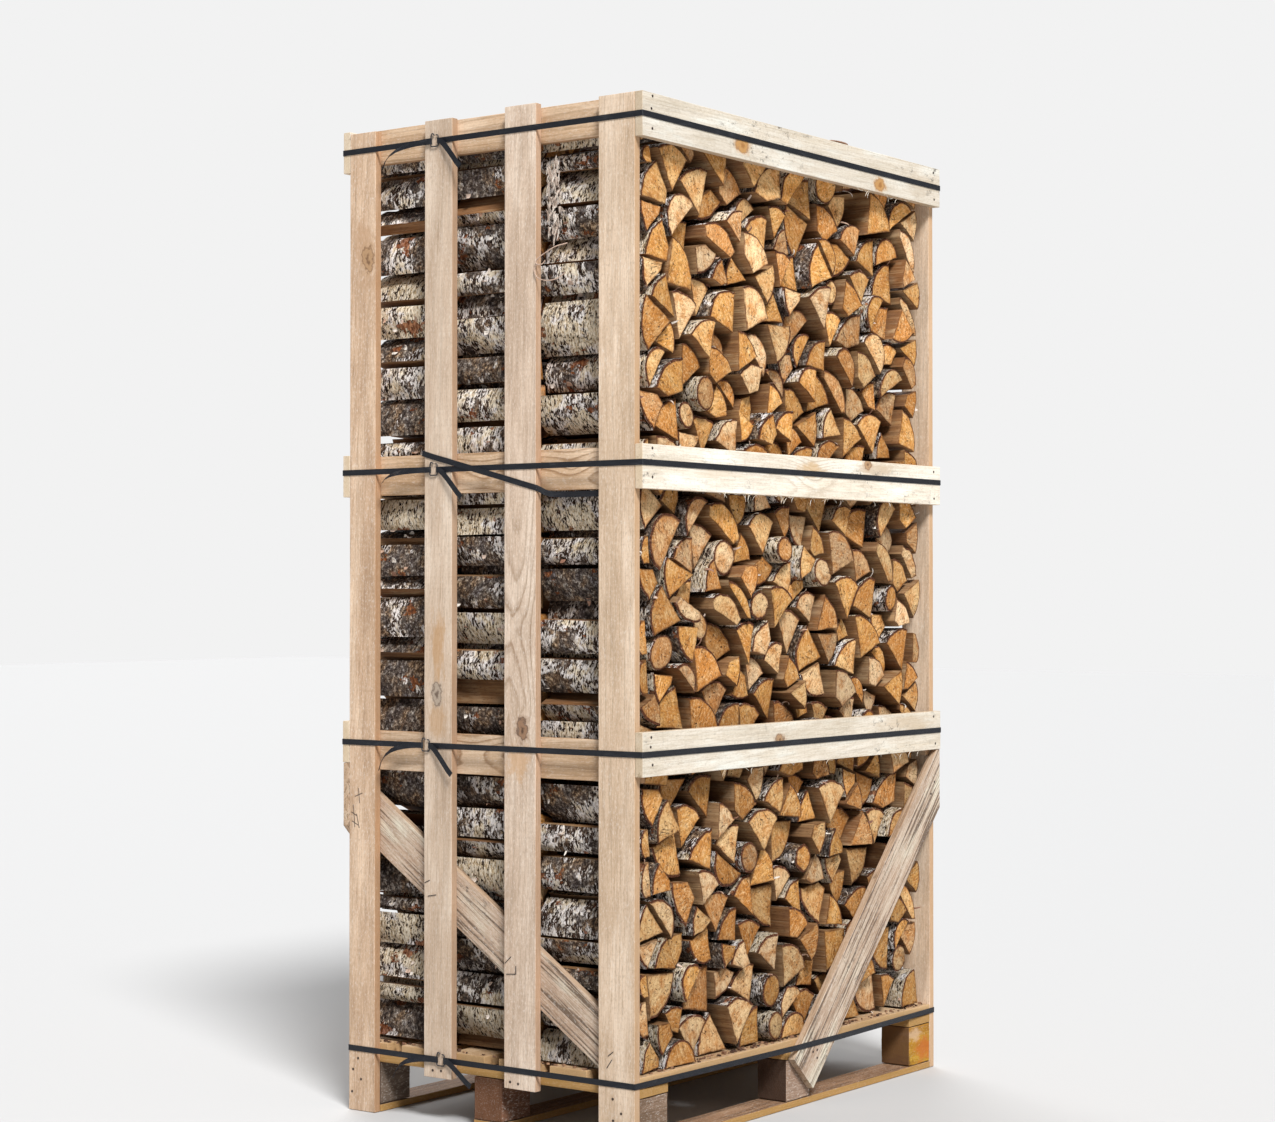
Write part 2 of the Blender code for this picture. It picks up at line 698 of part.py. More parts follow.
def raised_ends(row, logs, border):
    """(plain outline, how far it stands out) of the logs that stand furthest out of the row."""
    chosen = []
    for (outline, corners), depth in zip(logs, end_depths(ROW_SEEDS[row], len(logs))):
        out = (depth - (1 - RAISED_SHARE)) / RAISED_SHARE
        if out > 0 and lies_inside(outline, border):
            chosen.append((outline[corners], END_SPREAD * max(out, 0.25)))
    return chosen


def faced_outline(bm, border, forms, face_y):
    """Fills the stack's border with faces and returns those of each form."""
    points = [Vector(point) for point in border]
    loops = [list(range(len(points)))]
    for outline, _ in forms:
        loops.append(list(range(len(points), len(points) + len(outline))))
        points.extend(Vector(point) for point in outline)
    flat, _, faces, _, _, sources = delaunay_2d_cdt(points, [], loops, 1, 1e-7)
    verts = [bm.verts.new((x, face_y, z)) for x, z in flat]
    groups = [[] for _ in forms]
    for corners, source in zip(faces, sources):
        face = bm.faces.new([verts[corner] for corner in corners])
        form = max(source) - 1
        if form >= 0:
            groups[form].append(face)
    return groups


def build_row(row):
    """One row of the load as a solid, with log ends in relief on the face that shows."""
    height = STACK_TOP - DECK_TOP
    logs = stack_logs(ROW_SEEDS[row], STACK_LENGTH, height)
    border = stack_outline(logs, STACK_LENGTH)
    forms = [] if row == "middle" else raised_ends(row, logs, border)
    turned = row == "back"
    middle = -abs(ROW_MIDDLE_Y[row])
    half = ROW_HALF_DEPTH[row]
    bm = bmesh.new()
    groups = faced_outline(bm, border, forms, middle - half)
    rim = [edge for edge in bm.edges if edge.is_boundary]
    pulled = bmesh.ops.extrude_edge_only(bm, edges=rim)["geom"]
    moved = [item for item in pulled if isinstance(item, bmesh.types.BMVert)]
    bmesh.ops.translate(bm, vec=(0.0, 2 * half, 0.0), verts=moved)
    bmesh.ops.holes_fill(bm, edges=[item for item in pulled if isinstance(item, bmesh.types.BMEdge)])
    for faces, (_, out) in zip(groups, forms):
        lifted = bmesh.ops.extrude_face_region(bm, geom=faces)["geom"]
        verts = [item for item in lifted if isinstance(item, bmesh.types.BMVert)]
        bmesh.ops.translate(bm, vec=(0.0, -out, 0.0), verts=verts)
        bmesh.ops.delete(bm, geom=faces, context="FACES")
    bmesh.ops.translate(bm, vec=(-STACK_LENGTH / 2, 0.0, DECK_TOP), verts=bm.verts)
    bmesh.ops.triangulate(bm, faces=bm.faces)
    add_object(f"log_row_{row}", mesh_from(f"log_row_{row}", bm), "log_wood", turned)


build_pallet()
build_uprights()
build_rails()
build_braces()
for strap_level in STRAP_HEIGHTS:
    build_strap(strap_level)
    build_buckle(strap_level)
build_loose_strap()
for load_row in ROW_SEEDS:
    build_row(load_row)
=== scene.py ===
# %% [markdown]
# # A crate of split firewood
#
# The real thing is a light pallet with an open crate of thin sawn boards, filled with short split
# birch logs in three rows and held by four plastic straps. The solid model gives every piece its
# place. This lesson dresses it: boards with grain, knots and nails, over eleven hundred logs with
# sawn ends and bark, and straps with their wire buckles.

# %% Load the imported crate
import itertools
import math

import bpy
import numpy as np
from mathutils import Matrix, Vector


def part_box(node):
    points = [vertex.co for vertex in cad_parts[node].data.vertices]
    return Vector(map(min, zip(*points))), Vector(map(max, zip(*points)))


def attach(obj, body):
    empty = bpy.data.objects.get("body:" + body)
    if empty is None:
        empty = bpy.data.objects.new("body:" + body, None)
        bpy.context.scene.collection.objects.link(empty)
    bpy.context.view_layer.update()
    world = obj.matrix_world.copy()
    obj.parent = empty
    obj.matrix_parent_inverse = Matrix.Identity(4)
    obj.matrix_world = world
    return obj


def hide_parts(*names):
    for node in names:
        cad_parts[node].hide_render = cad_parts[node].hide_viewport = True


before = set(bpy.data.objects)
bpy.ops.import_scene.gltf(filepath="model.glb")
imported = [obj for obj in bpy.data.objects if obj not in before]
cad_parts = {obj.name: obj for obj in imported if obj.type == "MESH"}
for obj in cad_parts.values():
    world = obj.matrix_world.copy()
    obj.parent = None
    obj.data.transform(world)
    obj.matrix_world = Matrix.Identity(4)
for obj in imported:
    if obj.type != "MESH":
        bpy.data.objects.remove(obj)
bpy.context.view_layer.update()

bpy.ops.object.select_all(action="DESELECT")

# %% [markdown]
# ## Camera, light and floor
#
# The camera stands in front of the left corner, a little above half the crate's height. The light
# is that of a bright, overcast day: an even sky, one very soft key light from the upper left, and a
# weaker one behind, so that the back and the right end are never black. The floor is a pale sheet
# of the same grey as the background.

# %% Camera
CAMERA_PLACE = (-4.908, -3.561, 1.158)
CAMERA_TURN = (math.radians(90.75), 0.0, math.radians(-53.67))
LENS = 72.54
camera_data = bpy.data.cameras.new("camera")
camera_data.sensor_width = 36.0
camera_data.lens = LENS
camera = bpy.data.objects.new("camera", camera_data)
camera.location = CAMERA_PLACE
camera.rotation_euler = CAMERA_TURN
bpy.context.scene.collection.objects.link(camera)
bpy.context.scene.camera = camera
bpy.context.scene.view_settings.view_transform = "Standard"
print("lens", LENS, "mm")

# %% Light
BACKGROUND, SKY_LIGHT = 0.888, 0.27


def add_sun(name, towards, power, softness):
    """A sun that shines from a direction, as soft as its width in degrees."""
    data = bpy.data.lights.new(name, "SUN")
    data.energy = power
    data.angle = math.radians(softness)
    lamp = bpy.data.objects.new(name, data)
    lamp.rotation_mode = "QUATERNION"
    lamp.rotation_quaternion = Vector(towards).to_track_quat("Z", "Y")
    bpy.context.scene.collection.objects.link(lamp)


world = bpy.data.worlds.new("overcast_sky")
world.use_nodes = True
bpy.context.scene.world = world
sky_nodes, sky_links = world.node_tree.nodes, world.node_tree.links
lighting = sky_nodes["Background"]
lighting.inputs["Color"].default_value = (0.97, 0.98, 1.0, 1.0)
lighting.inputs["Strength"].default_value = SKY_LIGHT
seen = sky_nodes.new("ShaderNodeBackground")
seen.inputs["Color"].default_value = (BACKGROUND, BACKGROUND, BACKGROUND, 1.0)
which_ray = sky_nodes.new("ShaderNodeLightPath")
pick_sky = sky_nodes.new("ShaderNodeMixShader")
sky_links.new(which_ray.outputs["Is Camera Ray"], pick_sky.inputs["Fac"])
sky_links.new(lighting.outputs["Background"], pick_sky.inputs[1])
sky_links.new(seen.outputs["Background"], pick_sky.inputs[2])
sky_links.new(pick_sky.outputs["Shader"], sky_nodes["World Output"].inputs["Surface"])
add_sun("key_light", (-0.43, -0.60, 0.78), 4.15, 16)
add_sun("back_light", (0.58, 0.62, 0.52), 2.0, 40)
print("sky", SKY_LIGHT)

# %% Floor
FLOOR_GREY = 0.555
bpy.ops.mesh.primitive_plane_add(size=60.0, location=(0.0, 0.0, -0.0006))
floor = bpy.context.object
floor.name = "floor"
floor_finish = bpy.data.materials.new("pale_floor")
floor_finish.use_nodes = True
floor_shader = floor_finish.node_tree.nodes["Principled BSDF"]
floor_shader.inputs["Base Color"].default_value = (FLOOR_GREY, FLOOR_GREY, FLOOR_GREY, 1.0)
floor_shader.inputs["Roughness"].default_value = 0.9
floor_shader.inputs["Specular IOR Level"].default_value = 0.1
floor.data.materials.append(floor_finish)
bpy.ops.object.select_all(action="DESELECT")
print("floor laid")

# %% [markdown]
# ## Helpers for finishes
#
# Every finish here is a small tree of nodes. Each helper adds one kind of node, feeds it, and
# returns what comes out, so that a finish reads like a recipe. All lengths are in metres, so a
# noise scale of 250 means specks of about four millimetres.


# %% Start a finish
def new_finish(name, roughness=0.8, specular=0.25, metallic=0.0):
    """A material with its uniform values set on the shader, and the shader's node tree."""
    finish = bpy.data.materials.new(name)
    finish.use_nodes = True
    shader = finish.node_tree.nodes["Principled BSDF"]
    shader.inputs["Roughness"].default_value = roughness
    shader.inputs["Specular IOR Level"].default_value = specular
    shader.inputs["Metallic"].default_value = metallic
    return finish, finish.node_tree


def feed(tree, socket, value):
    """Links an output to a socket, or sets the socket's own value."""
    if isinstance(value, bpy.types.NodeSocket):
        tree.links.new(value, socket)
    elif value is not None:
        socket.default_value = value


def to_shader(tree, name, value):
    feed(tree, tree.nodes["Principled BSDF"].inputs[name], value)


# %% Helpers for numbers
def maths(tree, operation, first, second=None):
    node = tree.nodes.new("ShaderNodeMath")
    node.operation = operation
    for socket, value in zip(node.inputs, (first, second)):
        feed(tree, socket, value)
    return node.outputs["Value"]


def plus(tree, first, second):
    return maths(tree, "ADD", first, second)


def minus(tree, first, second):
    return maths(tree, "SUBTRACT", first, second)


def times(tree, first, second):
    return maths(tree, "MULTIPLY", first, second)


def between(tree, value, low, high, to_low=0.0, to_high=1.0):
    """The value moved from one range to another, and kept inside it."""
    node = tree.nodes.new("ShaderNodeMapRange")
    for socket, number in zip(node.inputs, (value, low, high, to_low, to_high)):
        feed(tree, socket, number)
    return node.outputs["Result"]


# %% Helpers for vectors
def vectors(tree, operation, first, second=None):
    node = tree.nodes.new("ShaderNodeVectorMath")
    node.operation = operation
    for socket, value in zip(node.inputs, (first, second)):
        feed(tree, socket, value)
    return node.outputs["Value" if operation == "LENGTH" else "Vector"]


def stretched(tree, vector, scale, shift=(0.0, 0.0, 0.0)):
    """The vector times a scale for each direction, plus a shift."""
    return vectors(tree, "ADD", vectors(tree, "MULTIPLY", vector, scale), shift)


def combined(tree, x, y, z):
    node = tree.nodes.new("ShaderNodeCombineXYZ")
    for socket, value in zip(node.inputs, (x, y, z)):
        feed(tree, socket, value)
    return node.outputs["Vector"]


def parts(tree, vector):
    """The x, y and z of a vector."""
    node = tree.nodes.new("ShaderNodeSeparateXYZ")
    feed(tree, node.inputs["Vector"], vector)
    return tuple(node.outputs)


def object_place(tree):
    """Where a point is on the piece, which is also where it is in the crate."""
    found = tree.nodes.get("place") or tree.nodes.new("ShaderNodeTexCoord")
    found.name = "place"
    return found.outputs["Object"]


def attribute(tree, name):
    """A vector stored on the mesh, with its x, y and z."""
    node = tree.nodes.new("ShaderNodeAttribute")
    node.attribute_name = name
    return (node.outputs["Vector"], *parts(tree, node.outputs["Vector"]))


# %% Helpers for patterns
def noise(tree, vector, scale, detail=3.0, roughness=0.55, distortion=0.0, shift=(0.0, 0.0, 0.0)):
    """Soft random spots from 0 to 1, scale of them in each metre. Three scales stretch them."""
    if isinstance(scale, tuple):
        vector, scale = stretched(tree, vector, scale, shift), 1.0
    node = tree.nodes.new("ShaderNodeTexNoise")
    feed(tree, node.inputs["Vector"], vector)
    node.inputs["Scale"].default_value = scale
    node.inputs["Detail"].default_value = detail
    node.inputs["Roughness"].default_value = roughness
    node.inputs["Distortion"].default_value = distortion
    return node.outputs["Fac"]


def bump(tree, height, depth):
    """Relief of about this depth in metres, sent to the shader."""
    node = tree.nodes.new("ShaderNodeBump")
    node.inputs["Distance"].default_value = depth
    feed(tree, node.inputs["Height"], height)
    to_shader(tree, "Normal", node.outputs["Normal"])


# %% Helpers for colours
def ramp(tree, value, *stops):
    """A colour for a value, from (place, colour) stops."""
    node = tree.nodes.new("ShaderNodeValToRGB")
    feed(tree, node.inputs["Fac"], value)
    points = node.color_ramp.elements
    while len(points) < len(stops):
        points.new(0.5)
    for point, (place, colour) in zip(points, stops):
        point.position = place
        point.color = (*colour, 1.0)
    return node.outputs["Color"]


def blend(tree, share, first, second, mode="MIX"):
    """The second colour over the first one."""
    node = tree.nodes.new("ShaderNodeMix")
    node.data_type = "RGBA"
    node.blend_type = mode
    feed(tree, node.inputs["Factor"], share)
    for name, value in (("A", first), ("B", second)):
        socket = [way for way in node.inputs if way.name == name and way.type == "RGBA"][0]
        feed(tree, socket, (*value, 1.0) if isinstance(value, tuple) else value)
    return [way for way in node.outputs if way.type == "RGBA"][0]


def paint(tree, colour, coat, value, low, high, most=1.0):
    """Lays a coat over a colour, from none where the value is low to most of it where it is high."""
    return blend(tree, between(tree, value, low, high, 0.0, most), colour, coat)


def tinted(tree, colour, tint):
    return blend(tree, 1.0, colour, tint, "MULTIPLY")


def dimmed(tree, colour, bright):
    """The colour times one number."""
    return tinted(tree, colour, combined(tree, bright, bright, bright))


def toned(colour, share):
    """A plain colour made darker or lighter before it is used."""
    return tuple(min(1.0, share * channel) for channel in colour)


# %% [markdown]
# ## Sawn wood
#
# A sawn board cuts through the tree's rings, so its pattern is the distance from the heart of the
# tree, seen on a flat cut. Each board carries a vector called grain: how far each point is from
# its own heart line, and how far along. Rings round that line give straight lines on a quarter
# cut and arches on a flat one, with no picture at all. Fibres, saw fuzz and dirt go on top.


# %% Knots and stains
KNOT_REACH, KNOT_STRETCH = 3.2, 0.62


def knot_pull(tree, place, radius, along):
    """How near a point is to a knot, from 1 at its middle to 0 where it no longer bends the rings."""
    spread = [1.0, 1.0, 1.0]
    spread[along] = KNOT_STRETCH
    offset = vectors(tree, "SUBTRACT", object_place(tree), place)
    distance = vectors(tree, "LENGTH", vectors(tree, "MULTIPLY", offset, spread))
    return between(tree, distance, 0.0, radius * KNOT_REACH, 1.0, 0.0)


def knot_colour(tree, colour, pull, body, core):
    """Paints a knot: a dark seam, the knot's own wood inside it and a darker heart with a crack."""
    rough = noise(tree, object_place(tree), (60.0, 60.0, 60.0), 3.0, 0.6)
    pull = plus(tree, pull, between(tree, rough, 0.3, 0.7, -0.13, 0.13))
    colour = paint(tree, colour, body, pull, 0.45, 0.66, 0.6)
    colour = paint(tree, colour, core, pull, 0.60, 0.66, 0.7)
    colour = paint(tree, colour, body, pull, 0.68, 0.73, 0.9)
    return paint(tree, colour, core, pull, 0.84, 0.95, 0.85)


def stain_share(tree, place, size):
    """1 inside a soft ragged patch of about this size, and 0 outside."""
    offset = vectors(tree, "SUBTRACT", object_place(tree), place)
    scale = tuple(1 / length for length in size)
    distance = vectors(tree, "LENGTH", vectors(tree, "MULTIPLY", offset, scale))
    ragged = noise(tree, object_place(tree), tuple(1.6 / length for length in size), 5.0, 0.7)
    frayed = plus(tree, distance, between(tree, ragged, 0.3, 0.7, -0.5, 0.5))
    return between(tree, frayed, 0.5, 1.1, 1.0, 0.0)


def mouldy(tree, colour, grain, share):
    """Small dark spots of mould, only in some places."""
    spots = noise(tree, grain, (60.0, 60.0, 38.0), 5.0, 0.75)
    where = noise(tree, grain, (4.0, 4.0, 3.0), 2.0, shift=(5.0, 1.0, 3.0))
    spread = times(tree, between(tree, spots, 0.56, 0.66), between(tree, where, 0.48, 0.62))
    return blend(tree, times(tree, spread, share), colour, (0.10, 0.09, 0.08))


# %% Rings and ground colour
RING_TONE = (0.50, 0.42, 0.34)


def ring_radius(tree, grain, heart, pulls):
    """How far a point is from the heart of the tree. Knots push the rings out."""
    slow = noise(tree, grain, (14.0, 14.0, 1.6), 2.0)
    radius = plus(tree, vectors(tree, "LENGTH", heart), times(tree, slow, 0.022))
    for pull in pulls:
        radius = plus(tree, radius, times(tree, maths(tree, "POWER", pull, 2.0), 0.020))
    return radius


def late_wood(tree, radius, grain, ring_width):
    """1 on the dark line where a year's ring ends, and near 0 in its pale wood."""
    wobble = times(tree, noise(tree, grain, (90.0, 90.0, 7.0), 3.0), 0.0022)
    turn = maths(tree, "FRACT", maths(tree, "DIVIDE", plus(tree, radius, wobble), ring_width))
    stops = ((0.0, 0.1), (0.55, 0.12), (0.88, 1.0), (1.0, 0.15))
    return ramp(tree, turn, *((place, (dark,) * 3) for place, dark in stops))


def ground_colour(tree, grain, band, pale, warm):
    """Pale and warm zones, with softer clouds over them."""
    ground = paint(tree, pale, warm, band, 0.3, 0.72)
    patch = noise(tree, grain, (9.0, 9.0, 2.2), 3.0)
    ground = paint(tree, ground, warm, patch, 0.35, 0.75, 0.55)
    cloud = noise(tree, grain, (17.0, 17.0, 3.5), 4.0, 0.6, shift=(2.0, 7.0, 4.0))
    ground = paint(tree, ground, toned(warm, 0.84), cloud, 0.50, 0.66, 0.90)
    return paint(tree, ground, toned(pale, 1.14), cloud, 0.48, 0.34, 0.90)


# %% Sawn wood
def sawn_wood(name, pale, warm, ring_dark=0.25, ring_width=0.0034, streak=0.35,
              edge=(0.42, 0.22, 0.10), mould=0.0, fuzz=0.22, strands=0.12,
              knots=(), waves=(), stains=(), edge_colour_and_shade_share=0.65, along=2):
    """A finish for boards. pale and warm are its ground colours, edge its narrow sides', partly painted
    shade.
    """
    finish, tree = new_finish(name, roughness=0.82, specular=0.2)
    grain, across, through, _ = attribute(tree, "grain")
    _, tone, shade, side = attribute(tree, "tone")
    line = tuple(share * channel for share, channel in zip(RING_TONE, warm))
    pulls = [knot_pull(tree, place, size, along) for place, size, _, _ in knots]
    swirls = [knot_pull(tree, place, size, along) for place, size in waves]
    radius = ring_radius(tree, grain, combined(tree, across, through, 0.0), pulls + swirls)
    late = late_wood(tree, radius, grain, ring_width)
    band = noise(tree, combined(tree, times(tree, radius, 55.0), tone, 0.0), 1.0, 2.0)
    dark_share = between(tree, band, 0.25, 0.75, 0.35 * ring_dark, ring_dark)
    for swirl in swirls:
        dark_share = plus(tree, dark_share, times(tree, swirl, 0.65))
    ground = ground_colour(tree, grain, band, pale, warm)
    colour = blend(tree, times(tree, late, dark_share), ground, line)
    fibre = noise(tree, grain, (430.0, 430.0, 13.0), 4.0, 0.7)
    colour = paint(tree, colour, line, fibre, 0.52, 0.70, streak)
    colour = paint(tree, colour, toned(pale, 1.15), fibre, 0.47, 0.30, 0.40)
    strand = noise(tree, grain, (130.0, 130.0, 3.2), 3.0, 0.6)
    colour = paint(tree, colour, toned(warm, 0.30), strand, 0.535, 0.59, strands)
    speck = noise(tree, grain, (330.0, 330.0, 120.0), 4.0, 0.75)
    colour = paint(tree, colour, toned(warm, 0.55), speck, 0.54, 0.66, fuzz)
    colour = paint(tree, colour, (0.95, 0.90, 0.83), speck, 0.46, 0.34, fuzz)
    saw = noise(tree, grain, (2.0, 2.0, 120.0), 2.0)
    colour = paint(tree, colour, line, saw, 0.52, 0.75, 0.10)
    for place, size, stain, share in stains:
        colour = blend(tree, times(tree, stain_share(tree, place, size), share), colour, stain)
    for pull, (_, _, body, core) in zip(pulls, knots):
        colour = knot_colour(tree, colour, pull, body, core)
    if mould:
        colour = mouldy(tree, colour, grain, mould)
    # The narrow sides get the edge colour, partly their own and partly painted shade.
    colour = blend(tree, times(tree, side, edge_colour_and_shade_share), colour, edge)
    # Painted shade: each board is a little darker towards the ground, as under light from above.
    low = between(tree, parts(tree, object_place(tree))[2], 0.1, 1.6, 0.88, 1.0)
    bright = times(tree, between(tree, shade, 0.0, 1.0, 0.86, 1.08), low)
    to_shader(tree, "Base Color", dimmed(tree, colour, bright))
    relief = plus(tree, times(tree, fibre, 0.7), times(tree, late, -0.25))
    bump(tree, plus(tree, relief, times(tree, speck, 0.5)), 0.0006)
    return finish


# %% [markdown]
# ## A pencil mark
#
# The far post has a small mark in pencil. Each of its strokes is a straight line, and a point
# belongs to it when it lies nearer than the width of a pencil's tip. The strokes are laid over
# that post's finish, so the mark needs no picture.


# %% Pencil strokes
PENCIL_STROKES = (((0.372, 0.722), (0.369, 0.690)), ((0.361, 0.712), (0.382, 0.704)),
                  ((0.388, 0.684), (0.383, 0.636)), ((0.393, 0.668), (0.376, 0.660)),
                  ((0.391, 0.648), (0.374, 0.640)), ((0.378, 0.664), (0.370, 0.634)))
PENCIL_WIDTH, PENCIL_SHARE = 0.0015, 0.85


def stroke_share(tree, start, stop):
    """1 on a pencil stroke on the left end, from start to stop in Y and Z."""
    start, stop = Vector((0.0, *start)), Vector((0.0, *stop))
    way = stop - start
    offset = vectors(tree, "SUBTRACT", object_place(tree), tuple(start))
    offset = vectors(tree, "MULTIPLY", offset, (0.0, 1.0, 1.0))
    _, y, z = parts(tree, vectors(tree, "MULTIPLY", offset, tuple(way / way.length_squared)))
    part = between(tree, plus(tree, y, z), 0.0, 1.0)
    nearest = vectors(tree, "MULTIPLY", combined(tree, part, part, part), tuple(way))
    distance = vectors(tree, "LENGTH", vectors(tree, "SUBTRACT", offset, nearest))
    return between(tree, distance, 0.6 * PENCIL_WIDTH, PENCIL_WIDTH, 1.0, 0.0)


def add_pencil(finish):
    """Draws the strokes over a finish's own colour."""
    tree = finish.node_tree
    socket = tree.nodes["Principled BSDF"].inputs["Base Color"]
    colour = socket.links[0].from_socket
    for start, stop in PENCIL_STROKES:
        share = times(tree, stroke_share(tree, start, stop), PENCIL_SHARE)
        colour = blend(tree, share, colour, (0.06, 0.045, 0.04))
    feed(tree, socket, colour)


# %% [markdown]
# ## A finish for each kind of board
#
# The boards came off different logs and were dried differently: the long rails are nearly white,
# the posts and slats are tan, and the pallet is old and brown. Each kind of board is the same
# recipe with its own colours, ring width and dirt, and the knots and stains that are seen on it.


# %% Finishes for each kind of board
BROWN_KNOT = ((0.50, 0.31, 0.17), (0.20, 0.11, 0.06))
ORANGE_KNOT = ((0.64, 0.35, 0.13), (0.42, 0.19, 0.06))
GREY_KNOT = ((0.56, 0.45, 0.35), (0.16, 0.11, 0.08))
DARK_KNOT = ((0.34, 0.20, 0.12), (0.09, 0.05, 0.035))
BOARD_FINISHES = {
    "post": sawn_wood("post_wood", (0.84, 0.67, 0.51), (0.72, 0.52, 0.35), 0.26, 0.0042, 0.42,
                      edge=(0.50, 0.29, 0.14), fuzz=0.42),
    "far_post": sawn_wood("far_post_wood", (0.80, 0.60, 0.43), (0.64, 0.43, 0.28), 0.34, 0.0046, 0.50,
                          fuzz=0.42, knots=[((-0.62, 0.345, 1.913), 0.015, *BROWN_KNOT)],
                          stains=[((-0.62, 0.36, 1.95), (0.05, 0.03, 0.05), (0.50, 0.30, 0.17), 0.5),
                                  ((-0.62, 0.34, 1.86), (0.05, 0.04, 0.02), (0.52, 0.33, 0.20), 0.4)]),
    "slat": sawn_wood("slat_wood", (0.88, 0.72, 0.57), (0.77, 0.57, 0.41), 0.26, 0.0036, 0.40,
                      edge=(0.44, 0.24, 0.12), fuzz=0.38,
                      knots=[((-0.62, 0.140, 0.938), 0.013, *GREY_KNOT)],
                      stains=[((-0.62, 0.137, 1.045), (0.05, 0.020, 0.085), (0.60, 0.32, 0.12), 0.6),
                              ((-0.62, 0.140, 0.880), (0.05, 0.028, 0.045), (0.60, 0.34, 0.15), 0.5)]),
    "pink_slat": sawn_wood("pink_slat_wood", (0.80, 0.655, 0.525), (0.66, 0.49, 0.36), 0.40, 0.0066,
                           0.46, edge=(0.46, 0.26, 0.14), fuzz=0.42,
                           knots=[((-0.62, -0.100, 0.868), 0.013, *DARK_KNOT)],
                           waves=[((-0.62, -0.085, 1.08), 0.060)],
                           stains=[((-0.62, -0.09, 0.80), (0.05, 0.035, 0.045), (0.62, 0.36, 0.17), 0.55)]),
    "front_rail": sawn_wood("front_rail_wood", (0.93, 0.88, 0.80), (0.86, 0.75, 0.59), 0.22, 0.0060, 0.42,
                            edge=(0.62, 0.42, 0.22), mould=0.8, fuzz=0.42, along=0, edge_colour_and_shade_share=0.5,
                            knots=[((-0.247, -0.42, 2.143), 0.014, *ORANGE_KNOT),
                                   ((0.334, -0.42, 2.130), 0.012, *ORANGE_KNOT),
                                   ((0.278, -0.42, 1.463), 0.010, *BROWN_KNOT),
                                   ((-0.10, -0.42, 0.835), 0.010, *BROWN_KNOT)],
                            waves=[((0.04, -0.42, 1.44), 0.03)],
                            stains=[((0.03, -0.42, 1.440), (0.06, 0.05, 0.018), (0.62, 0.42, 0.22), 0.75),
                                    ((0.31, -0.42, 1.450), (0.09, 0.05, 0.018), (0.56, 0.42, 0.28), 0.65),
                                    ((-0.35, -0.42, 1.42), (0.12, 0.05, 0.012), (0.72, 0.60, 0.45), 0.6),
                                    ((0.52, -0.42, 2.15), (0.08, 0.05, 0.03), (0.62, 0.50, 0.36), 0.55),
                                    ((0.45, -0.42, 0.85), (0.14, 0.05, 0.02), (0.66, 0.50, 0.33), 0.5)]),
    "end_rail": sawn_wood("end_rail_wood", (0.82, 0.62, 0.44), (0.66, 0.43, 0.25), 0.60, 0.0080, 0.42,
                          fuzz=0.30, waves=[((-0.60, 0.02, 1.42), 0.05), ((-0.60, -0.22, 1.43), 0.03),
                                            ((-0.60, 0.05, 0.81), 0.04)], along=1),
    "brace": sawn_wood("brace_wood", (0.97, 0.83, 0.67), (0.63, 0.43, 0.30), 0.60, 0.0056, 0.80,
                       edge=(0.48, 0.31, 0.18), mould=0.8, fuzz=0.45, strands=0.95, edge_colour_and_shade_share=0.5),
    "skid": sawn_wood("skid_wood", (0.50, 0.31, 0.19), (0.33, 0.18, 0.095), 0.45, 0.0044, 0.60,
                      edge=(0.58, 0.33, 0.09), mould=0.5, fuzz=0.40, strands=0.5),
    "deck": sawn_wood("deck_wood", (0.68, 0.48, 0.29), (0.52, 0.32, 0.16), 0.40, 0.0044, 0.45,
                      edge=(0.64, 0.40, 0.185), mould=0.7, fuzz=0.35),
}
add_pencil(BOARD_FINISHES["far_post"])
print(len(BOARD_FINISHES), "kinds of sawn wood")

# %% [markdown]
# ## Boards
#
# A board starts as a cube at the size and place of its solid. Its long edges are cut into short
# lengths, a soft random displacement lets its faces dip by under a millimetre, as a rough saw
# leaves them, and a small bevel takes the sharpness off its edges. It never grows past its solid.
# Its two attributes are written last: grain for the pattern, and tone for this board's own shade
# and for its narrow sides, whose darker colour is partly their own and partly painted shade.

# %% Rough sawn surface
BOARD_DIP, BOARD_WEAR = 0.0009, 0.0012
unevenness = bpy.data.textures.new("saw_unevenness", "CLOUDS")
unevenness.noise_scale = 0.07
unevenness.noise_depth = 2


def apply_modifiers(piece):
    bpy.context.view_layer.objects.active = piece
    for modifier in list(piece.modifiers):
        bpy.ops.object.modifier_apply(modifier=modifier.name)


def roughen(piece, dip=BOARD_DIP, wear=BOARD_WEAR):
    """Lets the faces dip inwards and rounds the edges."""
    uneven = piece.modifiers.new("uneven", "DISPLACE")
    uneven.texture = unevenness
    uneven.texture_coords = "GLOBAL"
    uneven.mid_level = 1.0
    uneven.strength = dip
    rounded = piece.modifiers.new("rounded", "BEVEL")
    rounded.width = wear
    rounded.segments = 2
    rounded.limit_method = "ANGLE"
    rounded.angle_limit = math.radians(40)
    apply_modifiers(piece)
    bpy.ops.object.shade_smooth_by_angle(angle=math.radians(20))


# %% Cut a board's long edges
CUT_SPACING = 0.045


def cut_along(piece, axis):
    """Divides the edges that run along an axis, so that the board can be uneven."""
    mesh = piece.data
    bpy.ops.object.mode_set(mode="EDIT")
    bpy.ops.mesh.select_all(action="DESELECT")
    bpy.ops.mesh.select_mode(type="EDGE")
    bpy.ops.object.mode_set(mode="OBJECT")
    length = piece.dimensions[axis]
    for edge in mesh.edges:
        first, second = (mesh.vertices[end].co for end in edge.vertices)
        edge.select = abs((second - first)[axis]) > 0.5 * length
    bpy.ops.object.mode_set(mode="EDIT")
    bpy.ops.mesh.subdivide(number_cuts=max(1, int(length / CUT_SPACING)))
    bpy.ops.object.mode_set(mode="OBJECT")


# %% Write a board's grain and tone
HEART_LEAST, HEART_MOST = (-0.03, 0.03), (0.03, 0.10)
MOST_LEAN, TREE_LENGTH = 0.025, 40
board_luck = np.random.RandomState(5)


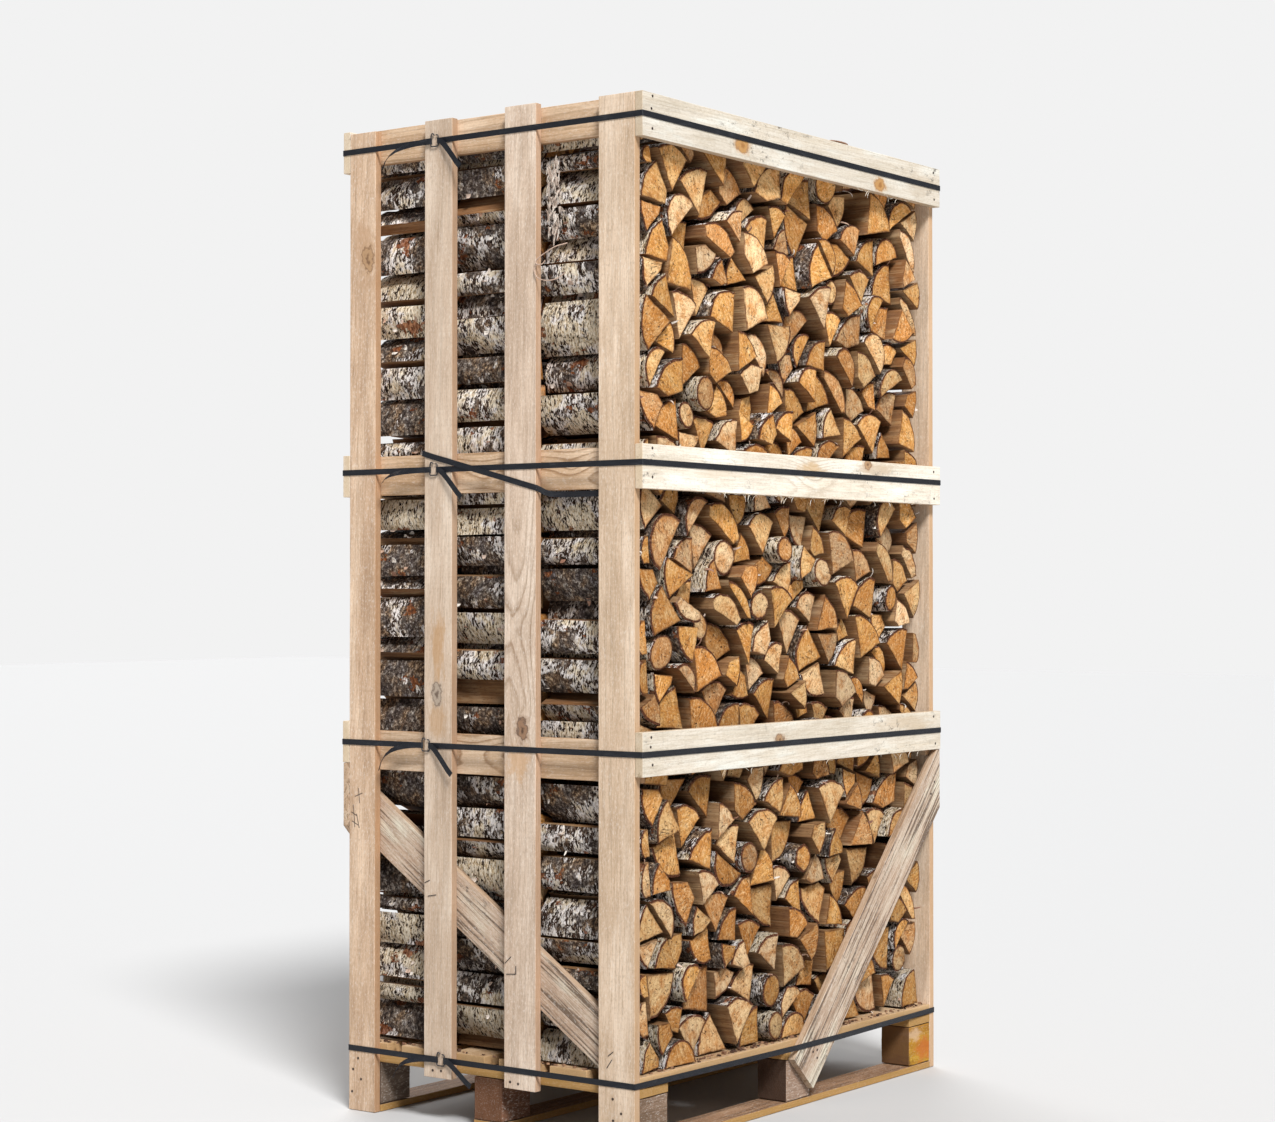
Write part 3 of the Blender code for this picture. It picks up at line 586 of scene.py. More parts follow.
def write_vectors(mesh, name, values, domain="POINT"):
    layer = mesh.attributes.new(name, "FLOAT_VECTOR", domain)
    layer.data.foreach_set("vector", np.asarray(values, np.float32).ravel())


def mesh_points(mesh):
    points = np.empty(len(mesh.vertices) * 3)
    mesh.vertices.foreach_get("co", points)
    return points.reshape(-1, 3)


def face_normals(mesh):
    normals = np.empty(len(mesh.polygons) * 3)
    mesh.polygons.foreach_get("normal", normals)
    return normals.reshape(-1, 3)


def write_grain(piece, way, thin):
    """Gives a board its own place in a tree: way is along its fibres, and thin is through it."""
    way, thin = Vector(way).normalized(), Vector(thin).normalized()
    wide = thin.cross(way)
    points = mesh_points(piece.data)
    middle = (points.min(axis=0) + points.max(axis=0)) / 2
    local = (points - middle) @ np.array([wide, thin, way]).T
    heart = board_luck.uniform(HEART_LEAST, HEART_MOST)
    lean = board_luck.uniform(-MOST_LEAN, MOST_LEAN, 2)
    grain = local.copy()
    grain[:, :2] += heart + lean * local[:, 2:]
    grain[:, 2] += board_luck.uniform(0, TREE_LENGTH)
    write_vectors(piece.data, "grain", grain)
    normals = face_normals(piece.data)
    narrow = (abs(normals @ np.array(thin)) < 0.6) * 1.0
    tone = np.column_stack([np.tile(board_luck.uniform(0, 1, 2), (len(narrow), 1)), narrow])
    write_vectors(piece.data, "tone", tone, "FACE")


# %% Make one board
def finish_piece(piece, name, finishes, nodes):
    """Names a piece, gives it its finishes, hangs it under the root and hides the solids it stands for."""
    piece.name = name
    piece.data.name = name
    for finish in finishes:
        piece.data.materials.append(finish)
    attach(piece, "root")
    if nodes:
        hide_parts(*nodes)
    bpy.ops.object.select_all(action="DESELECT")


def cube_at(low, high):
    """A cube of the given corners, with its place in its mesh."""
    low, high = Vector(low), Vector(high)
    bpy.ops.object.select_all(action="DESELECT")
    bpy.ops.mesh.primitive_cube_add(size=1.0, location=(low + high) / 2, scale=high - low)
    bpy.ops.object.transform_apply(location=True, rotation=True, scale=True)
    return bpy.context.object


AXES = (Vector((1, 0, 0)), Vector((0, 1, 0)), Vector((0, 0, 1)))


def make_board(node, finish):
    low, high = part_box(node)
    size = list(high - low)
    along, thin = size.index(max(size)), size.index(min(size))
    board = cube_at(low, high)
    cut_along(board, along)
    roughen(board)
    write_grain(board, AXES[along], AXES[thin])
    finish_piece(board, f"{node}_board", [finish], [node])


# %% Posts, slats and rails
SPECIAL_BOARDS = {"post_back_left": "far_post", "slat_front_left": "pink_slat",
                  "slat_back_right": "pink_slat"}
BOARD_KINDS = (
    ("post_", "post", "upright_wood"),
    ("slat_", "slat", "upright_wood"),
    ("side_rail_", "front_rail", "rail_wood"),
    ("end_rail_", "end_rail", "rail_wood"),
    ("pallet_skid_", "skid", "pallet_wood"),
    ("pallet_stringer_", "skid", "pallet_wood"),
    ("pallet_deck_board_", "deck", "pallet_wood"),
)
board_count = 0
for start, kind, slot_name in BOARD_KINDS:
    for node in sorted(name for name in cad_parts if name.startswith(start)):
        make_board(node, BOARD_FINISHES[SPECIAL_BOARDS.get(node, kind)])
        board_count += 1
print(board_count, "boards sawn")

# %% [markdown]
# ## Diagonal braces
#
# Each brace is one board nailed on the slant. It is modelled as on the bench: a straight board,
# turned to its angle, and on the long sides cut off flush with the post and under the rail with
# two cuts that fill their own faces. The braces at the back and the right are turned half round.

# %% Braces
SIDE_BRACE_WIDTH, SIDE_BRACE_ANGLE = 0.110, math.radians(46.0)
END_BRACE_WIDTH, END_BRACE_ANGLE = 0.105, math.radians(34.0)
UNCUT_LENGTH = 1.2
BRACE_FEET = {"front": (0.0, 0.0745), "left": (-0.303, 0.157)}
BRACE_CUTS = {"front": 21, "left": 19}


def half_turn(piece):
    """Turns a finished front or left piece into its twin at the back or right."""
    piece.data.transform(Matrix.Rotation(math.pi, 4, "Z"))


def slanted_board(centre, size, turn):
    bpy.ops.object.select_all(action="DESELECT")
    bpy.ops.mesh.primitive_cube_add(size=1.0, location=centre, scale=size, rotation=turn)
    bpy.ops.object.transform_apply(location=True, rotation=True, scale=True)
    return bpy.context.object


def saw_off(piece, point, outwards):
    """Cuts away what lies beyond a plane and closes the cut."""
    bpy.ops.object.mode_set(mode="EDIT")
    bpy.ops.mesh.select_all(action="SELECT")
    bpy.ops.mesh.bisect(plane_co=point, plane_no=outwards, use_fill=True, clear_outer=True)
    bpy.ops.object.mode_set(mode="OBJECT")


def cut_across(piece, start, way, count):
    """Cuts a slanted board into lengths without parting it."""
    bpy.ops.object.mode_set(mode="EDIT")
    for step in range(1, count + 1):
        bpy.ops.mesh.select_all(action="SELECT")
        bpy.ops.mesh.bisect(plane_co=start + way * CUT_SPACING * step, plane_no=way)
    bpy.ops.object.mode_set(mode="OBJECT")


def side_brace(node, turned):
    low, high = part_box("brace_front")
    way = Vector((math.cos(SIDE_BRACE_ANGLE), 0.0, math.sin(SIDE_BRACE_ANGLE)))
    foot_x, foot_z = BRACE_FEET["front"]
    foot = Vector((foot_x, (low.y + high.y) / 2, foot_z))
    size = (UNCUT_LENGTH, high.y - low.y, SIDE_BRACE_WIDTH)
    board = slanted_board(foot + way * UNCUT_LENGTH / 2, size, (0.0, -SIDE_BRACE_ANGLE, 0.0))
    saw_off(board, (high.x, 0.0, 0.0), (1.0, 0.0, 0.0))
    saw_off(board, (0.0, 0.0, high.z), (0.0, 0.0, 1.0))
    cut_across(board, foot, way, BRACE_CUTS["front"])
    dress_brace(board, node, way, (0.0, 1.0, 0.0), turned)


def end_brace(node, turned):
    low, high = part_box("brace_left")
    way = Vector((0.0, math.cos(END_BRACE_ANGLE), math.sin(END_BRACE_ANGLE)))
    foot = Vector(((low.x + high.x) / 2, *BRACE_FEET["left"]))
    long = (high.y - foot.y) / way.y
    down = Vector((0.0, way.z, -way.y)) * END_BRACE_WIDTH / 2
    size = (high.x - low.x, long, END_BRACE_WIDTH)
    board = slanted_board(foot + way * long / 2 - down, size, (END_BRACE_ANGLE, 0.0, 0.0))
    cut_across(board, foot, way, BRACE_CUTS["left"])
    dress_brace(board, node, way, (1.0, 0.0, 0.0), turned)


def dress_brace(board, node, way, thin, turned):
    roughen(board)
    write_grain(board, way, thin)
    if turned:
        half_turn(board)
    finish_piece(board, f"{node}_board", [BOARD_FINISHES["brace"]], [node])
    points = mesh_points(board.data)
    print(node, "from", points.min(axis=0).round(4), "to", points.max(axis=0).round(4))


side_brace("brace_front", False)
side_brace("brace_back", True)
end_brace("brace_left", False)
end_brace("brace_right", True)

# %% [markdown]
# ## Pallet blocks
#
# The nine blocks are short offcuts, so their two ends show the tree's rings, darker and rougher
# than their sides; that dark colour on their ends, tops and bottoms is partly painted shade under
# the pallet. Each is a cube with a deep unevenness and worn, rounded edges. The one at the front
# right corner has old yellow paint, which turns orange towards the ground.

# %% Blocks
# The dark edge colours on the blocks' ends, tops and bottoms are partly painted shade under the pallet.
BLOCK_FINISHES = {
    "brown": sawn_wood("brown_block_wood", (0.34, 0.23, 0.16), (0.21, 0.13, 0.08), 0.55, 0.0058, 0.5,
                       edge=(0.10, 0.045, 0.022), mould=0.5, fuzz=0.4, edge_colour_and_shade_share=0.7),
    "pink": sawn_wood("pink_block_wood", (0.46, 0.33, 0.25), (0.34, 0.22, 0.15), 0.45, 0.0058, 0.5,
                      edge=(0.034, 0.013, 0.006), mould=0.3, fuzz=0.4, edge_colour_and_shade_share=0.88),
    "red": sawn_wood("red_block_wood", (0.24, 0.12, 0.07), (0.13, 0.055, 0.03), 0.55, 0.0058, 0.6,
                     edge=(0.15, 0.065, 0.03), mould=0.6, fuzz=0.4),
    "grey": sawn_wood("grey_block_wood", (0.30, 0.23, 0.18), (0.19, 0.13, 0.09), 0.45, 0.0058, 0.5,
                      edge=(0.13, 0.08, 0.06), mould=0.5, fuzz=0.4),
    "painted": sawn_wood("painted_block_wood", (0.54, 0.32, 0.035), (0.47, 0.21, 0.022), 0.35, 0.0058,
                         0.40, edge=(0.15, 0.075, 0.035), mould=0.4, fuzz=0.2, edge_colour_and_shade_share=0.9,
                         stains=[((0.575, -0.40, 0.050), (0.045, 0.05, 0.032), (0.52, 0.14, 0.025), 0.8),
                                 ((0.525, -0.40, 0.090), (0.035, 0.05, 0.018), (0.66, 0.46, 0.29), 0.7),
                                 ((0.505, -0.36, 0.020), (0.02, 0.06, 0.022), (0.05, 0.022, 0.012), 0.8)]),
}
BLOCK_LOOKS = {"front_right": "painted", "front_middle": "pink", "middle_left": "red",
               "back_left": "grey", "middle_right": "pink", "back_middle": "grey"}
BLOCK_CUTS, BLOCK_DIP, BLOCK_WEAR = 9, 0.0028, 0.0022


def make_block(node, finish):
    """A block with all its faces divided, so that they can be rough."""
    block = cube_at(*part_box(node))
    bpy.ops.object.mode_set(mode="EDIT")
    bpy.ops.mesh.select_all(action="SELECT")
    bpy.ops.mesh.subdivide(number_cuts=BLOCK_CUTS)
    bpy.ops.object.mode_set(mode="OBJECT")
    roughen(block, BLOCK_DIP, BLOCK_WEAR)
    write_grain(block, AXES[0], AXES[1])
    finish_piece(block, f"{node}_cut", [finish], [node])


block_nodes = sorted(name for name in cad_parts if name.startswith("pallet_block_"))
for node in block_nodes:
    make_block(node, BLOCK_FINISHES[BLOCK_LOOKS.get(node.removeprefix("pallet_block_"), "brown")])
print(len(block_nodes), "blocks cut")

# %% [markdown]
# ## Straps and buckles
#
# Four black plastic straps are pulled tight round the crate. Their shape is right in the solid
# model, so they keep it and only get a finish: a pressed diamond pattern with a painted highlight on
# its raised diamonds, a dull shine and dust.
# Each strap's two ends turn round the side bars of a small frame of bent steel wire. The wire is a
# curve with rounded corners, turned into a mesh.


# %% Strap plastic
DIAMOND_SCALE = 1750.0


def strap_plastic():
    finish, tree = new_finish("pressed_strap", roughness=0.4, specular=0.35)
    place = object_place(tree)
    x, y, z = parts(tree, place)
    along = plus(tree, x, y)
    rising = maths(tree, "SINE", times(tree, plus(tree, along, z), DIAMOND_SCALE))
    falling = maths(tree, "SINE", times(tree, minus(tree, along, z), DIAMOND_SCALE))
    weave = between(tree, times(tree, rising, falling), -0.6, 0.6)
    dust = noise(tree, place, (30.0, 30.0, 260.0), 4.0, 0.65)
    # The raised diamonds are coloured a little lighter and bluer: a painted highlight.
    colour = blend(tree, weave, (0.005, 0.006, 0.009), (0.011, 0.013, 0.020))
    colour = paint(tree, colour, (0.09, 0.095, 0.11), dust, 0.55, 0.75, 0.35)
    to_shader(tree, "Base Color", colour)
    to_shader(tree, "Roughness", between(tree, dust, 0.35, 0.65, 0.34, 0.55))
    bump(tree, weave, 0.0004)
    return finish


STRAP_FINISH = strap_plastic()
strap_nodes = sorted(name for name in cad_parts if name.startswith("strap_"))
for node in strap_nodes:
    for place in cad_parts[node].material_slots:
        place.material = STRAP_FINISH
print(len(strap_nodes), "straps finished")


# %% Bent wire
def rounded_path(points, reach, steps=4):
    """A path whose corners are rounded, each starting at most reach before it."""
    points = [Vector(point) for point in points]
    path = [points[0]]
    for before, corner, after in zip(points, points[1:], points[2:]):
        start = corner + (before - corner).normalized() * min(reach, 0.45 * (before - corner).length)
        stop = corner + (after - corner).normalized() * min(reach, 0.45 * (after - corner).length)
        for step in range(steps + 1):
            share = step / steps
            path.append(start.lerp(corner, share).lerp(corner.lerp(stop, share), share))
    return path + [points[-1]]


def wire(points, radius, detail):
    """A round wire along a path, as a mesh with closed ends."""
    curve = bpy.data.curves.new("wire", "CURVE")
    curve.dimensions = "3D"
    curve.bevel_depth = radius
    curve.bevel_resolution = detail
    curve.use_fill_caps = True
    line = curve.splines.new("POLY")
    line.points.add(len(points) - 1)
    for point, place in zip(line.points, points):
        point.co = (*place, 1.0)
    piece = bpy.data.objects.new("wire", curve)
    bpy.context.scene.collection.objects.link(piece)
    bpy.ops.object.select_all(action="DESELECT")
    piece.select_set(True)
    bpy.context.view_layer.objects.active = piece
    bpy.ops.object.convert(target="MESH")
    bpy.ops.object.shade_smooth_by_angle(angle=math.radians(40))
    return bpy.context.object


# %% Buckles
UPRIGHT_FACE = -0.6193
WIRE_RADIUS, WIRE_OUT = 0.0014, 0.0028
BEND_REACH = 0.0016
BUCKLE_PLACES = {"top": (0.146, 2.158), "upper": (0.148, 1.433),
                 "lower": (0.170, 0.826), "bottom": (0.126, 0.139)}
BUCKLE_BENDS = ((0.0010, 0.0123), (0.0042, 0.0161), (0.0083, 0.0161), (0.0105, 0.0103),
                (0.0105, -0.0103), (0.0083, -0.0125), (-0.0083, -0.0125), (-0.0105, -0.0103),
                (-0.0105, 0.0103), (-0.0083, 0.0125), (-0.0038, 0.0125))


def dark_steel(name, colour, worn):
    finish, tree = new_finish(name, roughness=0.42, specular=0.5, metallic=0.8)
    spots = noise(tree, object_place(tree), 700.0, 4.0, 0.65)
    to_shader(tree, "Base Color", paint(tree, colour, worn, spots, 0.45, 0.65))
    to_shader(tree, "Roughness", between(tree, spots, 0.3, 0.7, 0.32, 0.6))
    bump(tree, spots, 0.0002)
    return finish


BUCKLE_FINISH = dark_steel("dark_wire", (0.050, 0.052, 0.060), (0.14, 0.13, 0.125))
for level, (middle, height) in BUCKLE_PLACES.items():
    corners = [(UPRIGHT_FACE - WIRE_OUT, middle + along, height + up) for along, up in BUCKLE_BENDS]
    buckle = wire(rounded_path(corners, BEND_REACH), WIRE_RADIUS, 3)
    finish_piece(buckle, f"buckle_{level}_wire", [BUCKLE_FINISH], [f"buckle_{level}"])
    print("buckle", level, len(buckle.data.polygons), "faces")

# %% [markdown]
# ## Nails and staples
#
# The boards are nailed, and each nail shows its small round head, driven almost flush. One head
# is modelled: a short cylinder with a bevelled rim and a struck middle. It is copied to every
# place and the copies are joined. A few staples, bits of bent wire, are left on the uprights where
# paper was once fixed.

# %% Where the nails are
END_NAILS = ((0.372, 0.117), (0.387, 0.091), (0.363, 0.071), (0.390, 0.041), (0.151, 0.114),
             (0.127, 0.115), (-0.068, 0.113), (-0.090, 0.111), (-0.343, 0.108), (-0.365, 0.080),
             (-0.344, 0.063))
RAIL_NAILS = ((-0.586, -0.010), (-0.590, -0.034), (-0.583, -0.072),
              (0.588, -0.012), (0.584, -0.045), (0.591, -0.078))
BRACE_NAILS = ((0.039, 0.120), (0.056, 0.122), (0.056, 0.104), (0.592, 0.700), (0.575, 0.672))
NAIL_RADIUS, NAIL_DEPTH, NAIL_OUT = 0.0029, 0.0026, 0.0005
NAIL_RIM, NAIL_DENT, RIM_BEVEL = 0.0009, 0.0002, 0.0003
MOST_STRAY, MOST_TIP = 0.003, 0.05
nail_luck = np.random.RandomState(8)


def nail_places():
    """(place, direction it faces) of each nail on the left end and the front."""
    places = [((UPRIGHT_FACE, y, z), (-1, 0, 0)) for y, z in END_NAILS]
    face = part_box("side_rail_front_top")[0].y
    for level in ("top", "middle", "low"):
        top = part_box(f"side_rail_front_{level}")[1].z
        for x, down in RAIL_NAILS:
            dx, dz = nail_luck.uniform(-MOST_STRAY, MOST_STRAY, 2)
            places.append(((x + dx, face, top + down + dz), (0, -1, 0)))
    brace_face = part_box("brace_front")[0].y
    return places + [((x, brace_face, z), (0, -1, 0)) for x, z in BRACE_NAILS]


# %% One nail head
def nail_head():
    """A nail head that faces +Z, its rim at the origin's height."""
    bpy.ops.object.select_all(action="DESELECT")
    bpy.ops.mesh.primitive_cylinder_add(vertices=14, radius=NAIL_RADIUS, depth=NAIL_DEPTH,
                                        location=(0.0, 0.0, NAIL_OUT - NAIL_DEPTH / 2))
    bpy.ops.object.transform_apply(location=True, rotation=True, scale=True)
    nail = bpy.context.object
    bpy.ops.object.mode_set(mode="EDIT")
    bpy.ops.mesh.select_mode(type="FACE")
    bpy.ops.mesh.select_all(action="DESELECT")
    bpy.ops.object.mode_set(mode="OBJECT")
    for face in nail.data.polygons:
        face.select = face.normal.z > 0.9
    bpy.ops.object.mode_set(mode="EDIT")
    bpy.ops.mesh.inset(thickness=NAIL_RIM)
    bpy.ops.transform.translate(value=(0.0, 0.0, -NAIL_DENT))
    bpy.ops.object.mode_set(mode="OBJECT")
    rim = nail.modifiers.new("rim", "BEVEL")
    rim.width = RIM_BEVEL
    rim.limit_method = "ANGLE"
    rim.angle_limit = math.radians(50)
    apply_modifiers(nail)
    return nail


def copy_to(piece, matrix):
    """A copy of a piece with its own mesh, moved there."""
    twin = piece.copy()
    twin.data = piece.data.copy()
    twin.data.transform(matrix)
    bpy.context.scene.collection.objects.link(twin)
    return twin


def joined(pieces):
    bpy.ops.object.select_all(action="DESELECT")
    for piece in pieces:
        piece.select_set(True)
    bpy.context.view_layer.objects.active = pieces[0]
    bpy.ops.object.join()
    return bpy.context.object


# %% Drive the nails
first_nail = nail_head()
heads = []
for turn in (Matrix.Identity(4), Matrix.Rotation(math.pi, 4, "Z")):
    for place, facing in nail_places():
        stand = Vector(facing).to_track_quat("Z", "Y").to_matrix().to_4x4()
        tip = Matrix.Rotation(nail_luck.uniform(-MOST_TIP, MOST_TIP), 4, "X")
        heads.append(copy_to(first_nail, turn @ Matrix.Translation(place) @ stand @ tip))
bpy.data.objects.remove(first_nail)
NAIL_FINISH = dark_steel("nail_steel", (0.060, 0.052, 0.050), (0.16, 0.10, 0.07))
finish_piece(joined(heads), "nail_heads", [NAIL_FINISH], [])
print(len(heads), "nails driven")

# %% Staples
STAPLES = (((0.174, 0.524), (0.160, 0.530)), ((0.165, 0.495), (0.142, 0.499)),
           ((-0.054, 0.366), (-0.070, 0.381)), ((-0.058, 0.343), (-0.083, 0.345)),
           ((-0.084, 0.345), (-0.084, 0.362)), ((-0.331, 0.196), (-0.344, 0.206)),
           ((-0.328, 0.171), (-0.341, 0.189)))
STAPLE_RADIUS, STAPLE_BEND, STAPLE_RISE, STAPLE_DEPTH = 0.0008, 0.0008, 0.0006, 0.003
staples = []
for first, second in STAPLES:
    out, inside = UPRIGHT_FACE - STAPLE_RISE, UPRIGHT_FACE + STAPLE_DEPTH
    bends = [(inside, *first), (out, *first), (out, *second), (inside, *second)]
    staples.append(wire(rounded_path(bends, STAPLE_BEND, 3), STAPLE_RADIUS, 1))
finish_piece(joined(staples), "staples", [BUCKLE_FINISH], [])
print(len(STAPLES), "staples left")

# %% [markdown]
# ## How the logs are stacked
#
# Each row of logs was packed by hand, one log after another, each where it lay lowest and fitted
# best. The same search is done here with plain arithmetic: a log's end is drawn as a wedge, half,
# slab or round, turned at random, and dropped into the place that leaves the smallest gaps. The
# solid model used the same seeds, so the logs that stand out of its rows are these very logs.

# %% Measures of the stack
STACK_LENGTH, STACK_TOP = 1.160, 2.192
DECK_TOP = 0.016 + 0.095 + 0.020 + 0.024
ROW_SEEDS = {"front": 11, "middle": 23, "back": 37}
CELL, SHAPES, TRIES, SIDE_REACH = 0.003, 500, 80, 12
MOST_COUNTED_GAP, LOG_CLEARANCE = 0.022, 0.0012
# For each kind of log: its share, the least and most radius, and the degrees that its bark spans.
LOG_KINDS = {
    "wedge": (0.38, (0.079, 0.116), (50, 92)),
    "half": (0.18, (0.051, 0.075), (140, 190)),
    "slab": (0.14, (0.075, 0.107), (75, 110)),
    "blunt_wedge": (0.23, (0.088, 0.121), (42, 72)),
    "round": (0.07, (0.034, 0.050), None),
}
SLAB_DEPTH, SLAB_TAPER = (0.010, 0.032), 0.82
BLUNT_CUT, BLUNT_SLANT = (0.22, 0.48), 0.14
FLATTEST = 0.88


# %% One split log's end
def arc_points(radius, opening):
    """Points along the bark of a log whose heart is at the origin."""
    count = max(2, math.ceil(opening / math.radians(14)))
    angles = [opening * (step / count - 0.5) for step in range(count + 1)]
    return [(radius * math.cos(angle), radius * math.sin(angle)) for angle in angles]


def split_log(rng):
    """A log's outline, which of its sides are bark, and where the heart of the tree was."""
    kind = rng.choice(list(LOG_KINDS), p=[share for share, _, _ in LOG_KINDS.values()])
    _, radii, degrees = LOG_KINDS[kind]
    radius = rng.uniform(*radii)
    if kind == "round":
        bark = arc_points(radius, 2 * math.pi)[:-1]
    else:
        bark = arc_points(radius, math.radians(rng.uniform(*degrees)))
    split = []
    if kind == "wedge":
        split = [(0.0, 0.0)]
    elif kind == "slab":
        flat = bark[0][0] - rng.uniform(*SLAB_DEPTH)
        split = [(flat, bark[-1][1] * SLAB_TAPER), (flat, bark[0][1] * SLAB_TAPER)]
    elif kind == "blunt_wedge":
        cut = rng.uniform(*BLUNT_CUT)
        slant = rng.uniform(-BLUNT_SLANT, BLUNT_SLANT)
        x, y = bark[-1]
        split = [(x * (cut + slant), y * (cut + slant)), (x * (cut - slant), -y * (cut - slant))]
    outline = np.array(bark + split)
    outline[:, 1] *= rng.uniform(FLATTEST, 1.0)
    is_bark = np.zeros(len(outline), bool)
    is_bark[: len(bark) - (kind != "round")] = True
    return outline - outline.mean(axis=0), is_bark, -outline.mean(axis=0)


# %% A log's end at one turn
def walk_round(outline, step=0.0015):
    """Close points all round an outline."""
    points = []
    for first, second in zip(outline, np.roll(outline, -1, axis=0)):
        count = max(1, int(np.hypot(*(second - first)) / step))
        points.append(first + (second - first) * np.arange(count)[:, None] / count)
    return np.vstack(points)


def shoelace(outline):
    x, y = outline[:, 0], outline[:, 1]
    return abs(np.dot(x, np.roll(y, -1)) - np.dot(y, np.roll(x, -1))) / 2


class LogEnd:
    """A log's end at one turn, with its lower and upper outline in columns of CELL."""

    def __init__(self, outline, is_bark, heart):
        left = outline[:, 0].min()
        self.outline = outline - [left, 0.0]
        self.heart = heart - [left, 0.0]
        self.is_bark = is_bark
        edge = walk_round(self.outline)
        column = np.floor(edge[:, 0] / CELL).astype(int)
        self.columns = column.max() + 1
        self.lower = np.full(self.columns, np.inf)
        self.upper = np.full(self.columns, -np.inf)
        np.minimum.at(self.lower, column, edge[:, 1])
        np.maximum.at(self.upper, column, edge[:, 1])
        self.area = shoelace(self.outline)
        wide, tall = np.ptp(self.outline, axis=0)
        self.tallness = tall / wide
        middle = self.outline[:, 0].mean()
        self.bark_side = 0.0 if is_bark.all() else self.outline[is_bark, 0].mean() - middle


TALLEST_LOG = 1.3


def shapes_to_choose_from(rng):
    """Logs at random turns, but none that would stand on its edge."""
    shapes = []
    while len(shapes) < SHAPES:
        outline, is_bark, heart = split_log(rng)
        turn = rng.uniform(0, 2 * math.pi)
        cos, sin = math.cos(turn), math.sin(turn)
        turned = np.array([[cos, sin], [-sin, cos]])
        shape = LogEnd(outline @ turned, is_bark, heart @ turned)
        if shape.tallness < TALLEST_LOG:
            shapes.append(shape)
    return shapes


# %% Find the best place for a log
# What counts against a place: its height, a tall log, and a split face at either end of the row.
HEIGHT_COST, TALL_COST, EASY_TALLNESS = 6.0, 0.3, 0.9
SPLIT_OUT_COST, END_COLUMNS = 0.35, 8
BEST_PLACES, CORNER_COLUMNS = 10, 5


def gap_beside(walls, level, start, step):
    """Area of the narrow slots that a log would leave at one side."""
    columns = start[:, None] + step * np.arange(SIDE_REACH) + SIDE_REACH
    gap = level[:, None] - walls[columns]
    still_open = np.cumprod(gap > 0.002, axis=1)
    shut = still_open[:, -1] == 0
    return np.where(shut, (np.clip(gap, 0, MOST_COUNTED_GAP) * still_open).sum(axis=1), 0) * CELL


def best_place(shape, walls, height):
    """The score, column and height at which a shape lies lowest and leaves the smallest gaps."""
    sky = walls[SIDE_REACH:-SIDE_REACH]
    under = np.lib.stride_tricks.sliding_window_view(sky, shape.columns)
    rest = (under - shape.lower).max(axis=1)
    gap = np.minimum(rest[:, None] + shape.lower - under, MOST_COUNTED_GAP).sum(axis=1) * CELL
    score = (gap / shape.area + HEIGHT_COST * (rest + shape.lower.min())
             + TALL_COST * max(0.0, shape.tallness - EASY_TALLNESS))
    score[rest + shape.upper.max() > height] = np.inf
    if shape.bark_side > -0.01:
        score[:END_COLUMNS] += SPLIT_OUT_COST
    if shape.bark_side < 0.01:
        score[-END_COLUMNS:] += SPLIT_OUT_COST
    lowest = np.argpartition(score, BEST_PLACES)[:BEST_PLACES]
    left_corner = shape.lower[:CORNER_COLUMNS].min()
    right_corner = shape.lower[-CORNER_COLUMNS:].min()
    left = gap_beside(walls, rest[lowest] + left_corner, lowest - 1, -1)
    right = gap_beside(walls, rest[lowest] + right_corner, lowest + shape.columns, 1)
    full_score = score[lowest] + (left + right) / shape.area
    pick = int(np.argmin(full_score))
    return full_score[pick], int(lowest[pick]), rest[lowest[pick]]


# %% Drop the logs one by one
MOST_MISSES, WALL_HEIGHT = 5, 9.0


def stack_logs(seed, width, height):
    """A list of (outline, which sides are bark, heart) in the row's own X and Z."""
    rng = np.random.RandomState(seed)
    shapes = shapes_to_choose_from(rng)
    columns = int(width / CELL)
    walls = np.full(columns + 2 * SIDE_REACH, WALL_HEIGHT)
    sky = walls[SIDE_REACH:-SIDE_REACH]
    sky[:] = 0.0
    logs, misses = [], 0
    while misses < MOST_MISSES:
        picks = rng.choice(len(shapes), TRIES, replace=False)
        places = [(*best_place(shapes[pick], walls, height), pick) for pick in picks]
        score, column, rest, pick = min(places)
        if not np.isfinite(score):
            misses += 1
            continue
        shape = shapes[pick]
        covered = slice(column, column + shape.columns)
        sky[covered] = np.maximum(sky[covered], rest + shape.upper + LOG_CLEARANCE)
        place = np.array([column * CELL, rest])
        logs.append((shape.outline + place, shape.is_bark, shape.heart + place))
    return logs


# %% Push the logs at both ends out until they are flush
SHELF, ROW_HEIGHT = 0.004, 2.2
LEVELS = int(ROW_HEIGHT / SHELF)
MOST_PUSH, PUSHED_ZONE, FIRST_LINE = 0.048, 0.10, 0.001


def reach_by_height(outline):
    """The lowest and highest X of a log in each level that it passes through."""
    edge = walk_round(outline)
    level = np.floor(edge[:, 1] / SHELF).astype(int)
    low, high = np.full(LEVELS, np.inf), np.full(LEVELS, -np.inf)
    np.minimum.at(low, level, edge[:, 0])
    np.maximum.at(high, level, edge[:, 0])
    return low, high


def flipped(points, width):
    """Points of a row as they are from its other side."""
    return points * [-1, 1] + [width, 0]


def flipped_logs(logs, width):
    return [(flipped(outline, width), is_bark, flipped(heart, width))
            for outline, is_bark, heart in logs]


def pushed_left(logs):
    """The logs, with those near the left end slid into the free space before them."""
    taken = np.full(LEVELS, FIRST_LINE)
    moved = []
    for index in np.argsort([outline[:, 0].min() for outline, _, _ in logs]):
        outline, is_bark, heart = logs[index]
        low, high = reach_by_height(outline)
        free = (low - taken)[np.isfinite(low)].min() - LOG_CLEARANCE
        push = min(max(free, 0.0), MOST_PUSH) if outline[:, 0].min() < PUSHED_ZONE else 0.0
        taken = np.maximum(taken, high - push)
        moved.append((index, (outline - [push, 0.0], is_bark, heart - [push, 0.0])))
    return [log for _, log in sorted(moved, key=lambda pair: pair[0])]


def pushed_out(logs, width):
    logs = pushed_left(logs)
    return flipped_logs(pushed_left(flipped_logs(logs, width)), width)


